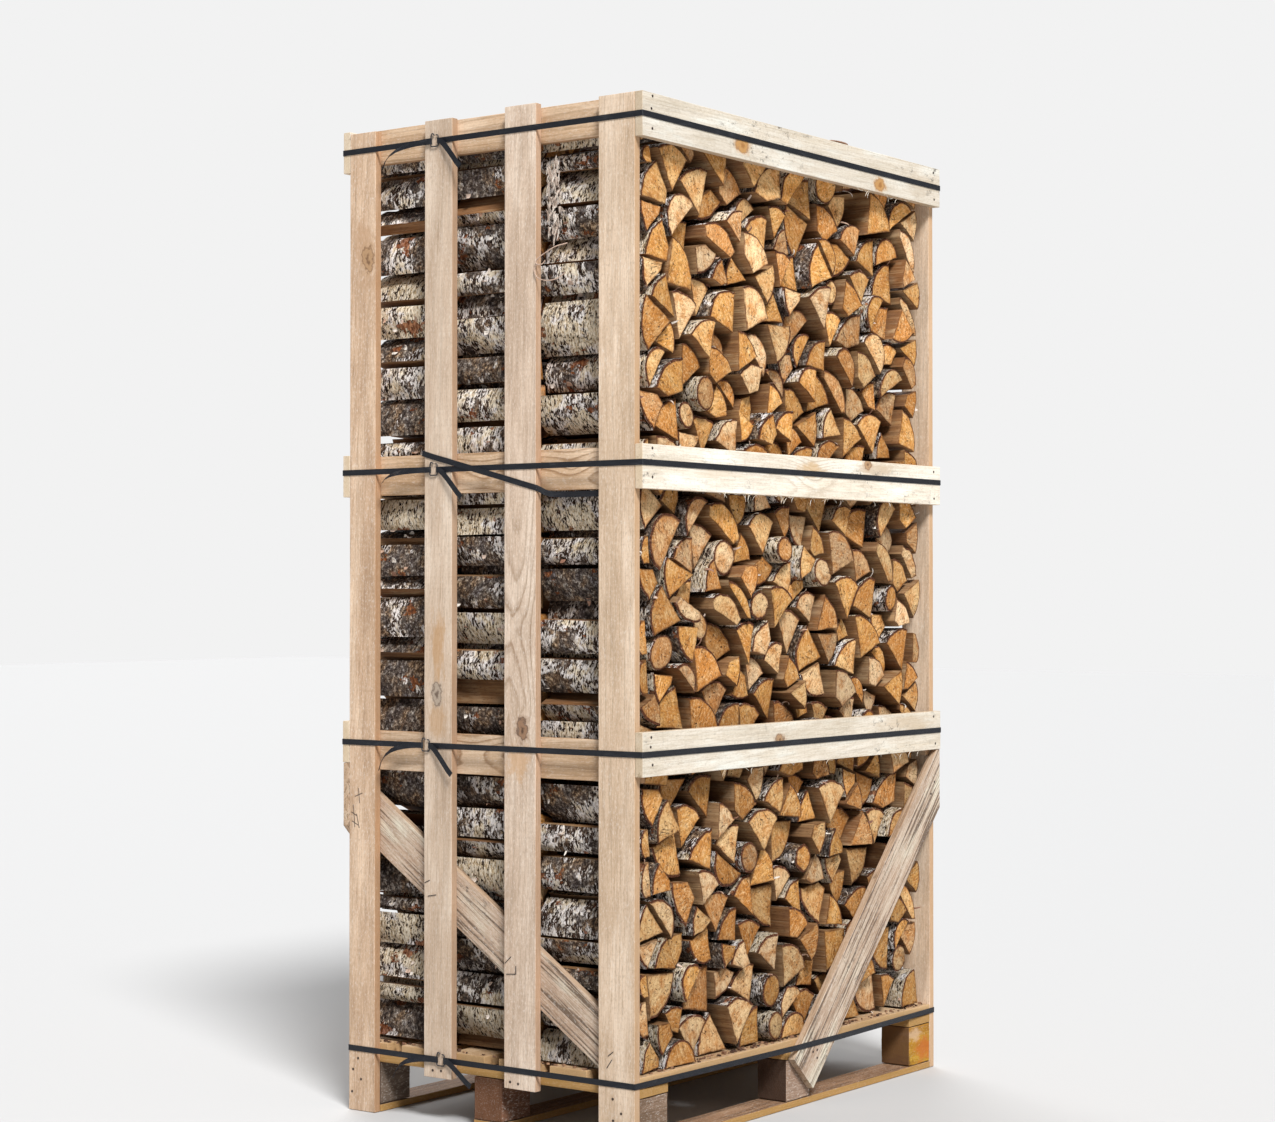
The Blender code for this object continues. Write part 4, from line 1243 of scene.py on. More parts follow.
# %% Fill what gaps are left at the ends of a row
LEAST_GAP, SHORTEST_GAP, TALLEST_GAP = 0.036, 0.036, 0.084
FILLER_PLAY, WIDEST_FILLER = 0.002, 0.09
FILLER_BARK = np.array([False, False, True, True, True, False])


def filler(width, height, bottom, luck):
    """A small split log that fills a gap at the left end of a row, with its bark outwards."""
    lean = luck.uniform(0.75, 0.95)
    outline = np.array([(width, 0.0), (width * lean, height), (width * 0.45, height * 0.97),
                        (0.002, height * 0.62), (0.0, height * 0.30), (width * 0.35, 0.0)])
    return outline + [FILLER_PLAY, bottom], FILLER_BARK.copy(), np.array([width, bottom])


def filled_ends(logs, width, luck):
    """The logs and small extra ones where a row's end would let the light through."""
    extra = []
    for mirror in (False, True):
        free = np.full(LEVELS, np.inf)
        for outline, _, _ in logs:
            seen_from_end = flipped(outline, width) if mirror else outline
            free = np.minimum(free, reach_by_height(seen_from_end)[0])
        free[~np.isfinite(free)] = 0.0
        start = 1
        while start < LEVELS:
            stop = start
            while stop < LEVELS and free[stop] > LEAST_GAP and (stop - start) * SHELF < TALLEST_GAP:
                stop += 1
            if (stop - start) * SHELF >= SHORTEST_GAP:
                room = min(free[start:stop].min() - 2 * FILLER_PLAY, WIDEST_FILLER)
                tall = (stop - start) * SHELF - 2 * FILLER_PLAY
                log = filler(room, tall, start * SHELF + FILLER_PLAY, luck)
                extra += flipped_logs([log], width) if mirror else [log]
            start = max(stop, start + 1)
    return logs + extra


filler_luck = np.random.RandomState(3)
stacks = {row: stack_logs(seed, STACK_LENGTH, STACK_TOP - DECK_TOP) for row, seed in ROW_SEEDS.items()}
stacks = {row: pushed_out(logs, STACK_LENGTH) for row, logs in stacks.items()}
stacks = {row: filled_ends(logs, STACK_LENGTH, filler_luck) for row, logs in stacks.items()}
print({row: len(logs) for row, logs in stacks.items()}, "logs in the rows")

# %% [markdown]
# ## From an outline to a log
#
# A log is its outline carried along its length. Where its bark is seen it has many sections, so
# that the bark can bulge and crack, and where it lies deep in the stack it has two. Its sawn end is
# a few rings of faces: a thin ring of cut bark, then the wood, tilted a little as a chain saw leaves
# it. Operators would need hours for a thousand logs, so their points are worked out with numpy and
# joined into a few meshes, one for each row and bay.

# %% Soft random relief
LATTICE = np.array([73856093, 19349663, 83492791])


def relief(points, scale, seed):
    """Smooth random numbers from -1 to 1 at points, scale of them in each metre."""
    points = np.asarray(points) * scale
    cell = np.floor(points).astype(np.int64)
    part = points - cell
    part = part * part * (3 - 2 * part)
    total = np.zeros(len(points))
    for corner in itertools.product((0, 1), repeat=3):
        key = (cell + corner) @ LATTICE + seed * 7919
        key = (key ^ (key >> 13)) * 1274126177
        value = ((key ^ (key >> 16)) & 0xFFFF) / 65535.0
        weight = np.prod(np.where(corner, part, 1 - part), axis=1)
        total += weight * value
    return total * 2 - 1


# %% A finer outline
def finer_outline(outline, is_bark, heart, bark_step, split_step):
    """Close points round a log, counter-clockwise, and which sides between them are bark."""
    x, z = outline[:, 0], outline[:, 1]
    if np.dot(x, np.roll(z, -1)) < np.dot(z, np.roll(x, -1)):
        outline = outline[::-1]
        is_bark = np.roll(is_bark[::-1], -1)
    points, sides = [], []
    for index, (first, second) in enumerate(zip(outline, np.roll(outline, -1, axis=0))):
        step = bark_step if is_bark[index] else split_step
        count = max(1, round(float(np.hypot(*(second - first))) / step))
        share = np.arange(count)[:, None] / count
        if is_bark[index]:
            a, b = first - heart, second - heart
            turn = math.atan2(a[0] * b[1] - a[1] * b[0], a @ b)
            angle = math.atan2(a[1], a[0]) + turn * share
            far = np.hypot(*a) + (np.hypot(*b) - np.hypot(*a)) * share
            points.append(heart + np.hstack([far * np.cos(angle), far * np.sin(angle)]))
        else:
            points.append(first + (second - first) * share)
        sides += [bool(is_bark[index])] * count
    return np.vstack(points), np.array(sides)


# %% Collect the logs of one piece
SPLIT, END, RIM, BARK = 0, 1, 2, 3


class Heap:
    """Points and faces of many logs, with what their finishes read."""

    def __init__(self):
        self.points, self.grain, self.tone = [], [], []
        self.faces, self.finish, self.skin = [], [], []
        self.count = 0

    def add_points(self, points, grain, tone):
        start = self.count
        self.points.append(points)
        self.grain.append(grain)
        self.tone.append(np.tile(tone, (len(points), 1)))
        self.count += len(points)
        return start

    def add_faces(self, corners, finish, skin):
        """corners is one row for each face, and skin is where each corner is on the bark."""
        self.faces.append(corners)
        self.finish.append(np.broadcast_to(finish, len(corners)))
        self.skin.append(skin)

    def build(self, name, turned):
        mesh = bpy.data.meshes.new(name)
        points = np.vstack(self.points)
        if turned:
            points = points * [-1.0, -1.0, 1.0]
        mesh.vertices.add(len(points))
        mesh.vertices.foreach_set("co", points.astype(np.float32).ravel())
        corners = np.concatenate([group.ravel() for group in self.faces])
        sizes = np.concatenate([np.full(len(group), group.shape[1]) for group in self.faces])
        mesh.loops.add(len(corners))
        mesh.loops.foreach_set("vertex_index", corners.astype(np.int32))
        mesh.polygons.add(len(sizes))
        mesh.polygons.foreach_set("loop_start", (np.cumsum(sizes) - sizes).astype(np.int32))
        mesh.polygons.foreach_set("material_index", np.concatenate(self.finish).astype(np.int32))
        mesh.update(calc_edges=True)
        skin = mesh.uv_layers.new(name="skin")
        flat = np.concatenate([group.reshape(-1, 2) for group in self.skin])
        skin.data.foreach_set("uv", flat.astype(np.float32).ravel())
        write_vectors(mesh, "grain", np.vstack(self.grain))
        write_vectors(mesh, "tone", np.vstack(self.tone))
        return mesh


def strip(first, second, count):
    """Quads between two rings of count points, wound so that they face outwards."""
    ahead = np.arange(count)
    after = (ahead + 1) % count
    return np.column_stack([first + ahead, second + ahead, second + after, first + after])


# %% Carve one log
BARK_THICKNESS = 0.0038
SLIMMER = 0.0023 / 0.030
MOST_DRIFT, MOST_TILT, MOST_ROUGHNESS = 0.006, 0.07, (0.6, 1.7)
BULGE, CRACKLE, SWELL, CLEFT = 0.0018, 0.0011, 0.0042, 0.0014
FINE_STEPS, COARSE_STEPS = (0.006, 0.013), (0.030, 0.200)
NEAR_END = (0.014, 0.050)
FRONT_REACH = -0.3985


def outward_from(outline, centre):
    away = outline - centre
    return away / np.maximum(np.hypot(*away.T), 1e-6)[:, None]


def log_rings(outline, sides, heart, depths, luck, rough, seed):
    """The log's sections from its front end to its back end."""
    is_bark = (sides & np.roll(sides, 1)).astype(float)
    is_edge = (sides ^ np.roll(sides, 1)).astype(float)
    step = np.hypot(*(np.roll(outline, -1, axis=0) - outline).T)
    around = np.concatenate([[0.0], np.cumsum(step)])
    outward = outward_from(outline, heart)
    from_middle = outward_from(outline, outline.mean(axis=0))
    drift = luck.uniform(-MOST_DRIFT, MOST_DRIFT, 2)
    count = len(outline)
    rings = []
    for depth in depths:
        where = np.column_stack([around[:-1], np.full(count, depth), np.full(count, seed * 0.37)])
        bulge = BULGE * rough * relief(where, 42.0, seed)
        bulge = bulge + CRACKLE * rough * relief(where, 120.0, seed + 1)
        swell = SWELL * relief(where * [1.0, 1.0, 0.0], 13.0, seed + 2) - 0.0020
        cleft = CLEFT * relief(where * [1.0, 0.05, 0.0], 80.0, seed + 3) - 0.0008
        section = outline + outward * ((bulge + swell) * is_bark + 0.4 * swell * is_edge)[:, None]
        section = section + from_middle * (cleft * (1 - is_bark) * (1 - is_edge))[:, None]
        rings.append(section + drift * (depth - depths[0]))
    return rings, around


def add_log(heap, log, ends, spacing, luck, place, fine):
    """Adds a log to a heap. ends are its front and back in Y, and place moves its row to the crate."""
    outline, is_bark, heart = log
    seed = int(luck.randint(0, 100000))
    points, sides = finer_outline(outline, is_bark, heart, *(FINE_STEPS if fine else COARSE_STEPS))
    points = points + (points.mean(axis=0) - points) * SLIMMER
    front, back = ends
    depths = np.linspace(front, back, max(1, int((back - front) / spacing)) + 1)
    if fine and spacing > 0.1:
        depths = np.array([front, front + NEAR_END[0], front + NEAR_END[1], back])
    rough = luck.uniform(*MOST_ROUGHNESS)
    rings, around = log_rings(points, sides, heart, depths, luck, rough, seed)
    tilt = luck.uniform(-MOST_TILT, MOST_TILT, 2)
    middle = points.mean(axis=0)
    tone = luck.uniform(0, 1, 3)
    along = luck.uniform(0, 30)

    def put(section, depth):
        lean = (section - middle) @ tilt
        y = np.maximum(depth + lean, FRONT_REACH) if depth < -0.2 else depth + lean
        solid = np.column_stack([section[:, 0], y + np.zeros(len(section)), section[:, 1]])
        grain = np.column_stack([section - heart, y + along + np.zeros(len(section))])
        return heap.add_points(solid + place, grain, tone)

    starts = []
    for index, (section, depth) in enumerate(zip(rings, depths)):
        starts.append(put(section, depth + (0.0012 if index == 0 and fine else 0.0)))
    u = np.column_stack([around[:-1], around[:-1], around[1:], around[1:]])
    for index, (first, second) in enumerate(zip(starts, starts[1:])):
        v = np.array([depths[index], depths[index + 1], depths[index + 1], depths[index]]) + along
        skin = np.stack([u, np.broadcast_to(v, u.shape)], axis=2)
        heap.add_faces(strip(first, second, len(points)), np.where(sides, BARK, SPLIT), skin)
    close_end(heap, put, rings[0], starts[0], heart, sides, depths[0], middle, luck, fine, False)
    close_end(heap, put, rings[-1], starts[-1], heart, sides, depths[-1], middle, luck, False, True)
    return rings, depths, sides


# %% Close a log's end
RIM_IN_SPLIT, RING_PLAY = 0.016, 0.0006


def close_end(heap, put, ring, start, heart, sides, depth, middle, luck, fine, backwards):
    """Closes one end of a log, with cut bark and rings of wood where it is seen closely.

    On an end the skin coordinates say how near a point is to the outline: 1 on it, 0 at the middle.
    """
    count = len(ring)
    outer, outer_share = start, 1.0
    if fine:
        towards_heart = heart - ring
        far = np.maximum(np.hypot(*towards_heart.T), 1e-6)[:, None]
        thick = BARK_THICKNESS * luck.uniform(0.7, 1.3)
        is_bark = (sides | np.roll(sides, 1))[:, None]
        inwards = np.where(is_bark, towards_heart / far * thick, (middle - ring) * RIM_IN_SPLIT)
        inner = ring + inwards
        rim = put(inner, depth)
        heap.add_faces(strip(rim, outer, count), np.where(sides, RIM, END), np.ones((count, 4, 2)))
        half = put(middle + (inner - middle) * 0.5, depth + luck.uniform(-RING_PLAY, RING_PLAY))
        shares = np.ones((count, 4, 2))
        shares[:, [0, 3]] = 0.5
        heap.add_faces(strip(half, rim, count), END, shares)
        outer, outer_share = half, 0.5
    hub = put(middle[None, :], depth)
    ahead = outer + np.arange(count)
    after = outer + (np.arange(count) + 1) % count
    pair = (after, ahead) if backwards else (ahead, after)
    shares = np.zeros((count, 3, 2))
    shares[:, :2] = outer_share
    heap.add_faces(np.column_stack([*pair, np.full(count, hub)]), END, shares)


# %% [markdown]
# ## Cut ends, split faces and bark
#
# Sawn birch ends are straw to golden orange, with faint rings round the heart, cracks that run
# out from it and the coarse marks of the saw. Split faces are tan and fibrous, coloured dark, partly
# as painted shade of the gaps where they lie. Birch bark is the hard one: a fine mottling of white,
# cream, yellow and black, with streaks that run round the log.
# Each log carries three random numbers, tone, which choose its shade and the kind of its bark.


# %% Painted shade by height and depth
LOAD_REACH = (0.560, 0.369, 2.12)
PAINTED_GAP_SHADE, PAINTED_GAP_DEPTH = (0.40, 0.28, 0.21), 0.055


def toned_with_painted_shade(tree, colour, shade, dull, clean):
    """The colour at this log's own brightness, with painted shade: darker near the ground, browner deep in
    the stack.
    """
    x, y, z = parts(tree, object_place(tree))
    # Painted shade: a log is darker the lower it lies, as under light from above.
    high = between(tree, z, 0.15, 1.9, 0.72, 1.07)
    colour = dimmed(tree, colour, times(tree, between(tree, shade, 0.0, 1.0, dull, clean), high))
    # Painted shade: faces deep between the logs are tinted darker and browner, as the gaps are shaded.
    from_end = minus(tree, LOAD_REACH[1], maths(tree, "ABSOLUTE", y))
    from_side = minus(tree, LOAD_REACH[0], maths(tree, "ABSOLUTE", x))
    from_top = minus(tree, LOAD_REACH[2], z)
    depth = maths(tree, "MINIMUM", maths(tree, "MINIMUM", from_end, from_side), from_top)
    return paint(tree, colour, tinted(tree, colour, PAINTED_GAP_SHADE), depth, 0.0, PAINTED_GAP_DEPTH)


def skin_place(tree):
    """Round and along a log on its bark. On a sawn end the first says how near the edge is."""
    skin = tree.nodes.new("ShaderNodeUVMap")
    skin.uv_map = "skin"
    return parts(tree, skin.outputs["UV"])


# %% Rings, cracks and saw marks
STRAW, GOLDEN, ORANGE = (0.80, 0.53, 0.25), (0.73, 0.365, 0.090), (0.56, 0.215, 0.038)
END_COLOURS = ((0.0, (0.86, 0.64, 0.40)), (0.22, STRAW), (0.45, GOLDEN), (0.70, (0.64, 0.31, 0.085)),
               (0.86, ORANGE), (1.0, (0.50, 0.33, 0.19)))
LOG_RING = 0.0034


def end_rings(tree, radius):
    turn = maths(tree, "FRACT", maths(tree, "DIVIDE", radius, LOG_RING))
    stops = ((0.0, 0.0), (0.6, 0.15), (0.9, 1.0), (1.0, 0.0))
    return ramp(tree, turn, *((place, (dark,) * 3) for place, dark in stops))


def drying_cracks(tree, flat, across, up, radius, hue):
    """Thin cracks that run out from the heart, in some places only."""
    angle = maths(tree, "ARCTAN2", up, across)
    spokes = combined(tree, times(tree, angle, 8.0), times(tree, radius, 18.0), hue)
    ray = noise(tree, spokes, 1.0, 2.0)
    crack = between(tree, maths(tree, "ABSOLUTE", minus(tree, ray, 0.46)), 0.0, 0.014, 1.0, 0.0)
    return times(tree, crack, between(tree, noise(tree, flat, 24.0, 2.0), 0.50, 0.58))


def saw_marks(tree, across, up, turn, kind):
    """The saw's coarse lines, at this log's own turn."""
    way = times(tree, turn, 6.28)
    cos, sin = maths(tree, "COSINE", way), maths(tree, "SINE", way)
    cut_u = plus(tree, times(tree, across, cos), times(tree, up, sin))
    cut_v = minus(tree, times(tree, up, cos), times(tree, across, sin))
    lines = combined(tree, times(tree, cut_u, 190.0), times(tree, cut_v, 45.0), kind)
    return noise(tree, lines, 1.0, 4.0, 0.7)


# %% Sawn ends
def end_grain():
    finish, tree = new_finish("log_end_grain", roughness=0.85, specular=0.15)
    _, across, up, _ = attribute(tree, "grain")
    _, hue, shade, kind = attribute(tree, "tone")
    flat = combined(tree, across, up, times(tree, kind, 3.0))
    warp = times(tree, noise(tree, flat, 22.0, 2.0), 0.010)
    radius = plus(tree, vectors(tree, "LENGTH", combined(tree, across, up, 0.0)), warp)
    blotch = noise(tree, flat, 30.0, 5.0, 0.65)
    ground = paint(tree, ramp(tree, hue, *END_COLOURS), ORANGE, blotch, 0.45, 0.62, 0.75)
    ground = paint(tree, ground, STRAW, blotch, 0.47, 0.30, 0.65)
    colour = blend(tree, times(tree, end_rings(tree, radius), 0.34), ground, (0.30, 0.12, 0.03))
    saw = saw_marks(tree, across, up, shade, kind)
    colour = paint(tree, colour, (0.30, 0.125, 0.035), saw, 0.50, 0.66, 0.55)
    colour = paint(tree, colour, (0.93, 0.68, 0.38), saw, 0.47, 0.32, 0.50)
    grit = noise(tree, flat, 190.0, 4.0, 0.75)
    colour = paint(tree, colour, (0.20, 0.09, 0.035), grit, 0.55, 0.66, 0.80)
    colour = paint(tree, colour, (0.95, 0.74, 0.44), grit, 0.45, 0.34, 0.55)
    dirt = noise(tree, stretched(tree, flat, (1.0, 1.0, 2.0)), 75.0, 4.0, 0.75)
    colour = paint(tree, colour, (0.17, 0.085, 0.045), dirt, 0.57, 0.70, 0.65)
    colour = paint(tree, colour, (0.05, 0.025, 0.014), noise(tree, flat, 150.0, 1.0), 0.68, 0.72, 0.9)
    crack = drying_cracks(tree, flat, across, up, radius, hue)
    colour = blend(tree, times(tree, crack, 0.9), colour, (0.07, 0.03, 0.014))
    # Near its outline each end is painted darker: partly the dark line of the inner bark, partly painted
    # shade round each log.
    near = plus(tree, skin_place(tree)[0], between(tree, blotch, 0.3, 0.7, -0.05, 0.05))
    colour = paint(tree, colour, (0.36, 0.15, 0.04), near, 0.60, 1.0, 0.28)
    colour = paint(tree, colour, (0.085, 0.032, 0.014), near, 0.91, 1.0, 0.80)
    to_shader(tree, "Base Color", toned_with_painted_shade(tree, colour, shade, 0.84, 1.32))
    height = plus(tree, times(tree, saw, 1.4), times(tree, grit, 0.8))
    bump(tree, minus(tree, height, times(tree, crack, 1.5)), 0.0016)
    return finish


# %% Split faces
def split_face():
    finish, tree = new_finish("log_split_face", roughness=0.8, specular=0.2)
    grain = attribute(tree, "grain")[0]
    _, hue, shade, _ = attribute(tree, "tone")
    fibre = noise(tree, grain, (330.0, 330.0, 9.0), 4.0, 0.65)
    strand = noise(tree, grain, (60.0, 60.0, 2.5), 3.0, 0.6)
    fleck = noise(tree, grain, (480.0, 480.0, 90.0), 2.0, 0.7)
    # The split faces' colours are kept dark: partly their own tan, partly painted shade of the gaps.
    ground = ramp(tree, hue, (0.0, (0.45, 0.27, 0.13)), (0.5, (0.37, 0.185, 0.072)),
                  (1.0, (0.29, 0.125, 0.042)))
    patch = noise(tree, grain, (26.0, 26.0, 7.0), 4.0, 0.65, shift=(4.0, 1.0, 6.0))
    ground = paint(tree, ground, (0.26, 0.135, 0.070), patch, 0.50, 0.64, 0.65)
    ground = paint(tree, ground, (0.58, 0.41, 0.24), patch, 0.48, 0.36, 0.70)
    colour = paint(tree, ground, (0.20, 0.090, 0.038), strand, 0.44, 0.62, 0.6)
    colour = paint(tree, colour, (0.58, 0.38, 0.19), strand, 0.45, 0.30, 0.45)
    colour = paint(tree, colour, (0.15, 0.065, 0.025), fibre, 0.49, 0.66, 0.55)
    colour = paint(tree, colour, (0.70, 0.49, 0.28), fibre, 0.45, 0.30, 0.35)
    colour = paint(tree, colour, (0.09, 0.04, 0.02), fleck, 0.58, 0.70, 0.7)
    to_shader(tree, "Base Color", toned_with_painted_shade(tree, colour, shade, 0.72, 1.0))
    bump(tree, plus(tree, fibre, times(tree, strand, 0.8)), 0.0014)
    return finish


# %% Cut bark at the ends
def bark_rim():
    finish, tree = new_finish("cut_bark", roughness=0.9, specular=0.1)
    layer = noise(tree, attribute(tree, "grain")[0], (210.0, 210.0, 90.0), 4.0, 0.7)
    colour = ramp(tree, layer, (0.30, (0.020, 0.010, 0.007)), (0.50, (0.085, 0.030, 0.016)),
                  (0.62, (0.17, 0.065, 0.032)), (0.74, (0.55, 0.44, 0.35)))
    to_shader(tree, "Base Color", colour)
    bump(tree, layer, 0.001)
    return finish


# %% The kinds of birch bark
def smooth_coat(tree, place, fine, choice):
    """Grey, white or yellow by the log's kind, with yellow spots."""
    grey = ramp(tree, fine, (0.05, (0.10, 0.070, 0.052)), (0.45, (0.30, 0.235, 0.19)),
                (0.85, (0.66, 0.59, 0.52)))
    pale = ramp(tree, fine, (0.02, (0.22, 0.145, 0.11)), (0.28, (0.77, 0.655, 0.56)),
                (0.60, (0.98, 0.92, 0.885)))
    yellow = ramp(tree, fine, (0.02, (0.18, 0.100, 0.048)), (0.35, (0.72, 0.54, 0.32)),
                  (0.70, (0.95, 0.83, 0.66)))
    coat = paint(tree, grey, pale, choice, 0.18, 0.42)
    coat = paint(tree, coat, yellow, choice, 0.62, 0.76)
    spots = noise(tree, place, (34.0, 50.0, 20.0), 3.0, 0.6, shift=(9.0, 2.0, 5.0))
    return paint(tree, coat, yellow, spots, 0.50, 0.61, 0.70)


def rough_crust(tree, place):
    """The dark, crumbling bark of an old trunk, ochre in places and blue-grey in others."""
    crumbly = noise(tree, place, (125.0, 125.0, 20.0), 4.0, 0.75)
    crust = ramp(tree, crumbly, (0.34, (0.014, 0.010, 0.009)), (0.46, (0.085, 0.060, 0.048)),
                 (0.55, (0.25, 0.195, 0.155)), (0.64, (0.74, 0.68, 0.60)))
    ochre = noise(tree, place, (22.0, 26.0, 20.0), 3.0, 0.6, shift=(1.0, 6.0, 2.0))
    crust = paint(tree, crust, tinted(tree, crust, (1.20, 0.93, 0.64)), ochre, 0.48, 0.60, 0.9)
    return paint(tree, crust, tinted(tree, crust, (0.50, 0.50, 0.58)), ochre, 0.47, 0.38, 0.9)


# %% Birch bark
def birch_bark():
    finish, tree = new_finish("birch_bark", roughness=0.88, specular=0.15)
    _, hue, shade, kind = attribute(tree, "tone")
    around, along, _ = skin_place(tree)
    place = combined(tree, around, along, times(tree, hue, 0.7))
    patch = noise(tree, place, (15.0, 12.0, 20.0), 3.0, 0.6)
    flake = noise(tree, place, (34.0, 74.0, 20.0), 5.0, 0.68, 0.5)
    mottle = noise(tree, place, (110.0, 230.0, 20.0), 3.0, 0.65, 0.4)
    streak = noise(tree, place, (24.0, 240.0, 20.0), 4.0, 0.7, 0.8)
    fine = plus(tree, times(tree, mottle, 0.65), times(tree, streak, 0.35))
    fine = between(tree, fine, 0.38, 0.60)
    light = plus(tree, times(tree, flake, 0.55), times(tree, mottle, 0.45))
    light = between(tree, light, 0.42, 0.56)
    choice = plus(tree, kind, times(tree, minus(tree, patch, 0.5), 2.6))
    share = plus(tree, light, between(tree, choice, 0.20, 0.85, -0.34, 0.24))
    dark = ramp(tree, fine, (0.15, (0.014, 0.007, 0.004)), (0.55, (0.074, 0.041, 0.026)),
                (0.95, (0.30, 0.215, 0.165)))
    colour = paint(tree, dark, smooth_coat(tree, place, fine, choice), share, 0.44, 0.54)
    colour = paint(tree, colour, rough_crust(tree, place), choice, 0.40, 0.32, 0.90)
    dash = noise(tree, place, (80.0, 900.0, 20.0), 1.0)
    colour = paint(tree, colour, (0.025, 0.018, 0.014), dash, 0.62, 0.67, 0.85)
    inner = noise(tree, place, (20.0, 15.0, 20.0), 5.0, 0.68, shift=(3.0, 8.0, 1.0))
    peeled = between(tree, inner, 0.612, 0.632)
    red = ramp(tree, mottle, (0.3, (0.07, 0.022, 0.012)), (0.50, (0.27, 0.080, 0.026)),
               (0.70, (0.54, 0.22, 0.075)))
    colour = blend(tree, times(tree, peeled, 0.9), colour, red)
    to_shader(tree, "Base Color", toned_with_painted_shade(tree, colour, shade, 0.84, 1.12))
    height = plus(tree, times(tree, fine, 0.6), times(tree, light, 0.8))
    bump(tree, minus(tree, height, peeled), 0.0024)
    return finish


LOG_FINISHES = (split_face(), end_grain(), bark_rim(), birch_bark())
print([finish.name for finish in LOG_FINISHES])

# %% [markdown]
# ## The three rows
#
# A log's front end stands where its luck put it: the outermost nearly touch the rails, and the
# deepest sit almost four centimetres further in. Logs at the ends and the top of a row are seen on
# their bark, so they get many sections. The back row is another stack, turned half way round.

# %% Where each log starts and stops
ROW_ENDS = {"front": (-0.375, -0.108), "middle": (-0.104, 0.150), "back": (-0.372, -0.154)}
END_SPREAD, RAISED_SHARE, DEEPEST = 0.020, 0.45, 0.018
SIDE_SPREAD, BACK_SPREAD, MIDDLE_SPREAD = 0.014, 0.010, 0.006


def log_ends(row, depth, at_side, luck):
    """A log's front and back in Y, from its own random depth. Those at the sides are nearly flush."""
    front, back = ROW_ENDS[row]
    if row == "middle":
        return front + luck.uniform(0.0, MIDDLE_SPREAD), back - luck.uniform(0.0, MIDDLE_SPREAD)
    out = (depth - (1 - RAISED_SHARE)) / RAISED_SHARE
    if at_side:
        front -= luck.uniform(0.0, SIDE_SPREAD)
    elif out > 0:
        front -= END_SPREAD * max(out, 0.25)
    else:
        front += DEEPEST * min(1.0, -out / 1.1)
    return front, back - luck.uniform(0.0, BACK_SPREAD)


def near_side(outline, reach):
    return outline[:, 0].min() < reach or outline[:, 0].max() > STACK_LENGTH - reach


def is_outer(outline, logs):
    """True for a log at either end or at the top of its row."""
    if near_side(outline, 0.050):
        return True
    low, high = outline.min(axis=0), outline.max(axis=0)
    middle = (low[0] + high[0]) / 2
    above = [other for other, _, _ in logs if other[:, 0].min() < middle < other[:, 0].max()]
    return sum(other[:, 1].min() > high[1] - 0.02 for other in above) == 0


# %% Put each log in its row
BAYS = (("low", 0.0, 0.80), ("middle", 0.80, 1.40), ("top", 1.40, 3.0))
ROW_PLACE = np.array([-STACK_LENGTH / 2, 0.0, DECK_TOP])
OUTER_SPACING, INNER_SPACING = 0.009, 0.30
bark_spots = {row: [] for row in ROW_SEEDS}


def laid_out(heap, name, turned, smooth_angle):
    """The heap as a piece in the scene, ready for its finish."""
    piece = bpy.data.objects.new(name, heap.build(name, turned))
    bpy.context.scene.collection.objects.link(piece)
    bpy.context.view_layer.objects.active = piece
    piece.select_set(True)
    bpy.ops.object.shade_smooth_by_angle(angle=math.radians(smooth_angle))
    return piece


def build_row(row):
    logs = stacks[row]
    depths = np.random.RandomState(ROW_SEEDS[row] + 1).uniform(0.0, 1.0, len(logs))
    luck = np.random.RandomState(ROW_SEEDS[row] + 2)
    heaps = {bay: Heap() for bay, _, _ in BAYS}
    for log, depth in zip(logs, depths):
        outline, _, heart = log
        ends = log_ends(row, depth, near_side(outline, 0.060), luck)
        outer = is_outer(outline, logs)
        fine = outer or row != "middle"
        spacing = OUTER_SPACING if outer else INNER_SPACING
        height = outline[:, 1].mean() + DECK_TOP
        bay = [name for name, low, high in BAYS if low <= height < high][0]
        rings, levels, sides = add_log(heaps[bay], log, ends, spacing, luck, ROW_PLACE, fine)
        if fine and sides.any():
            bark_spots[row].append((rings, levels, sides, heart, outer))
    for bay, heap in heaps.items():
        name = f"logs_{row}_{bay}"
        piece = laid_out(heap, name, row == "back", 38)
        finish_piece(piece, name, LOG_FINISHES, [f"log_row_{row}"])
        piece.data.calc_loop_triangles()
        print(name, len(piece.data.loop_triangles), "triangles")


for row in ROW_SEEDS:
    build_row(row)

# %% [markdown]
# ## Shreds of bark, splinters and crumbs
#
# Birch bark peels in thin curls, and the saw leaves a fringe of fine white splinters on the lower
# edges of the rails. Each curl or splinter is a ribbon that bends along its length. Crumbs of bark
# fell on the deck before the logs. All are drawn at random, but always in the same way.

# %% One ribbon
CURL_STEPS = 7


def turned_about(vector, axis, angle):
    return vector * math.cos(angle) + np.cross(axis, vector) * math.sin(angle)


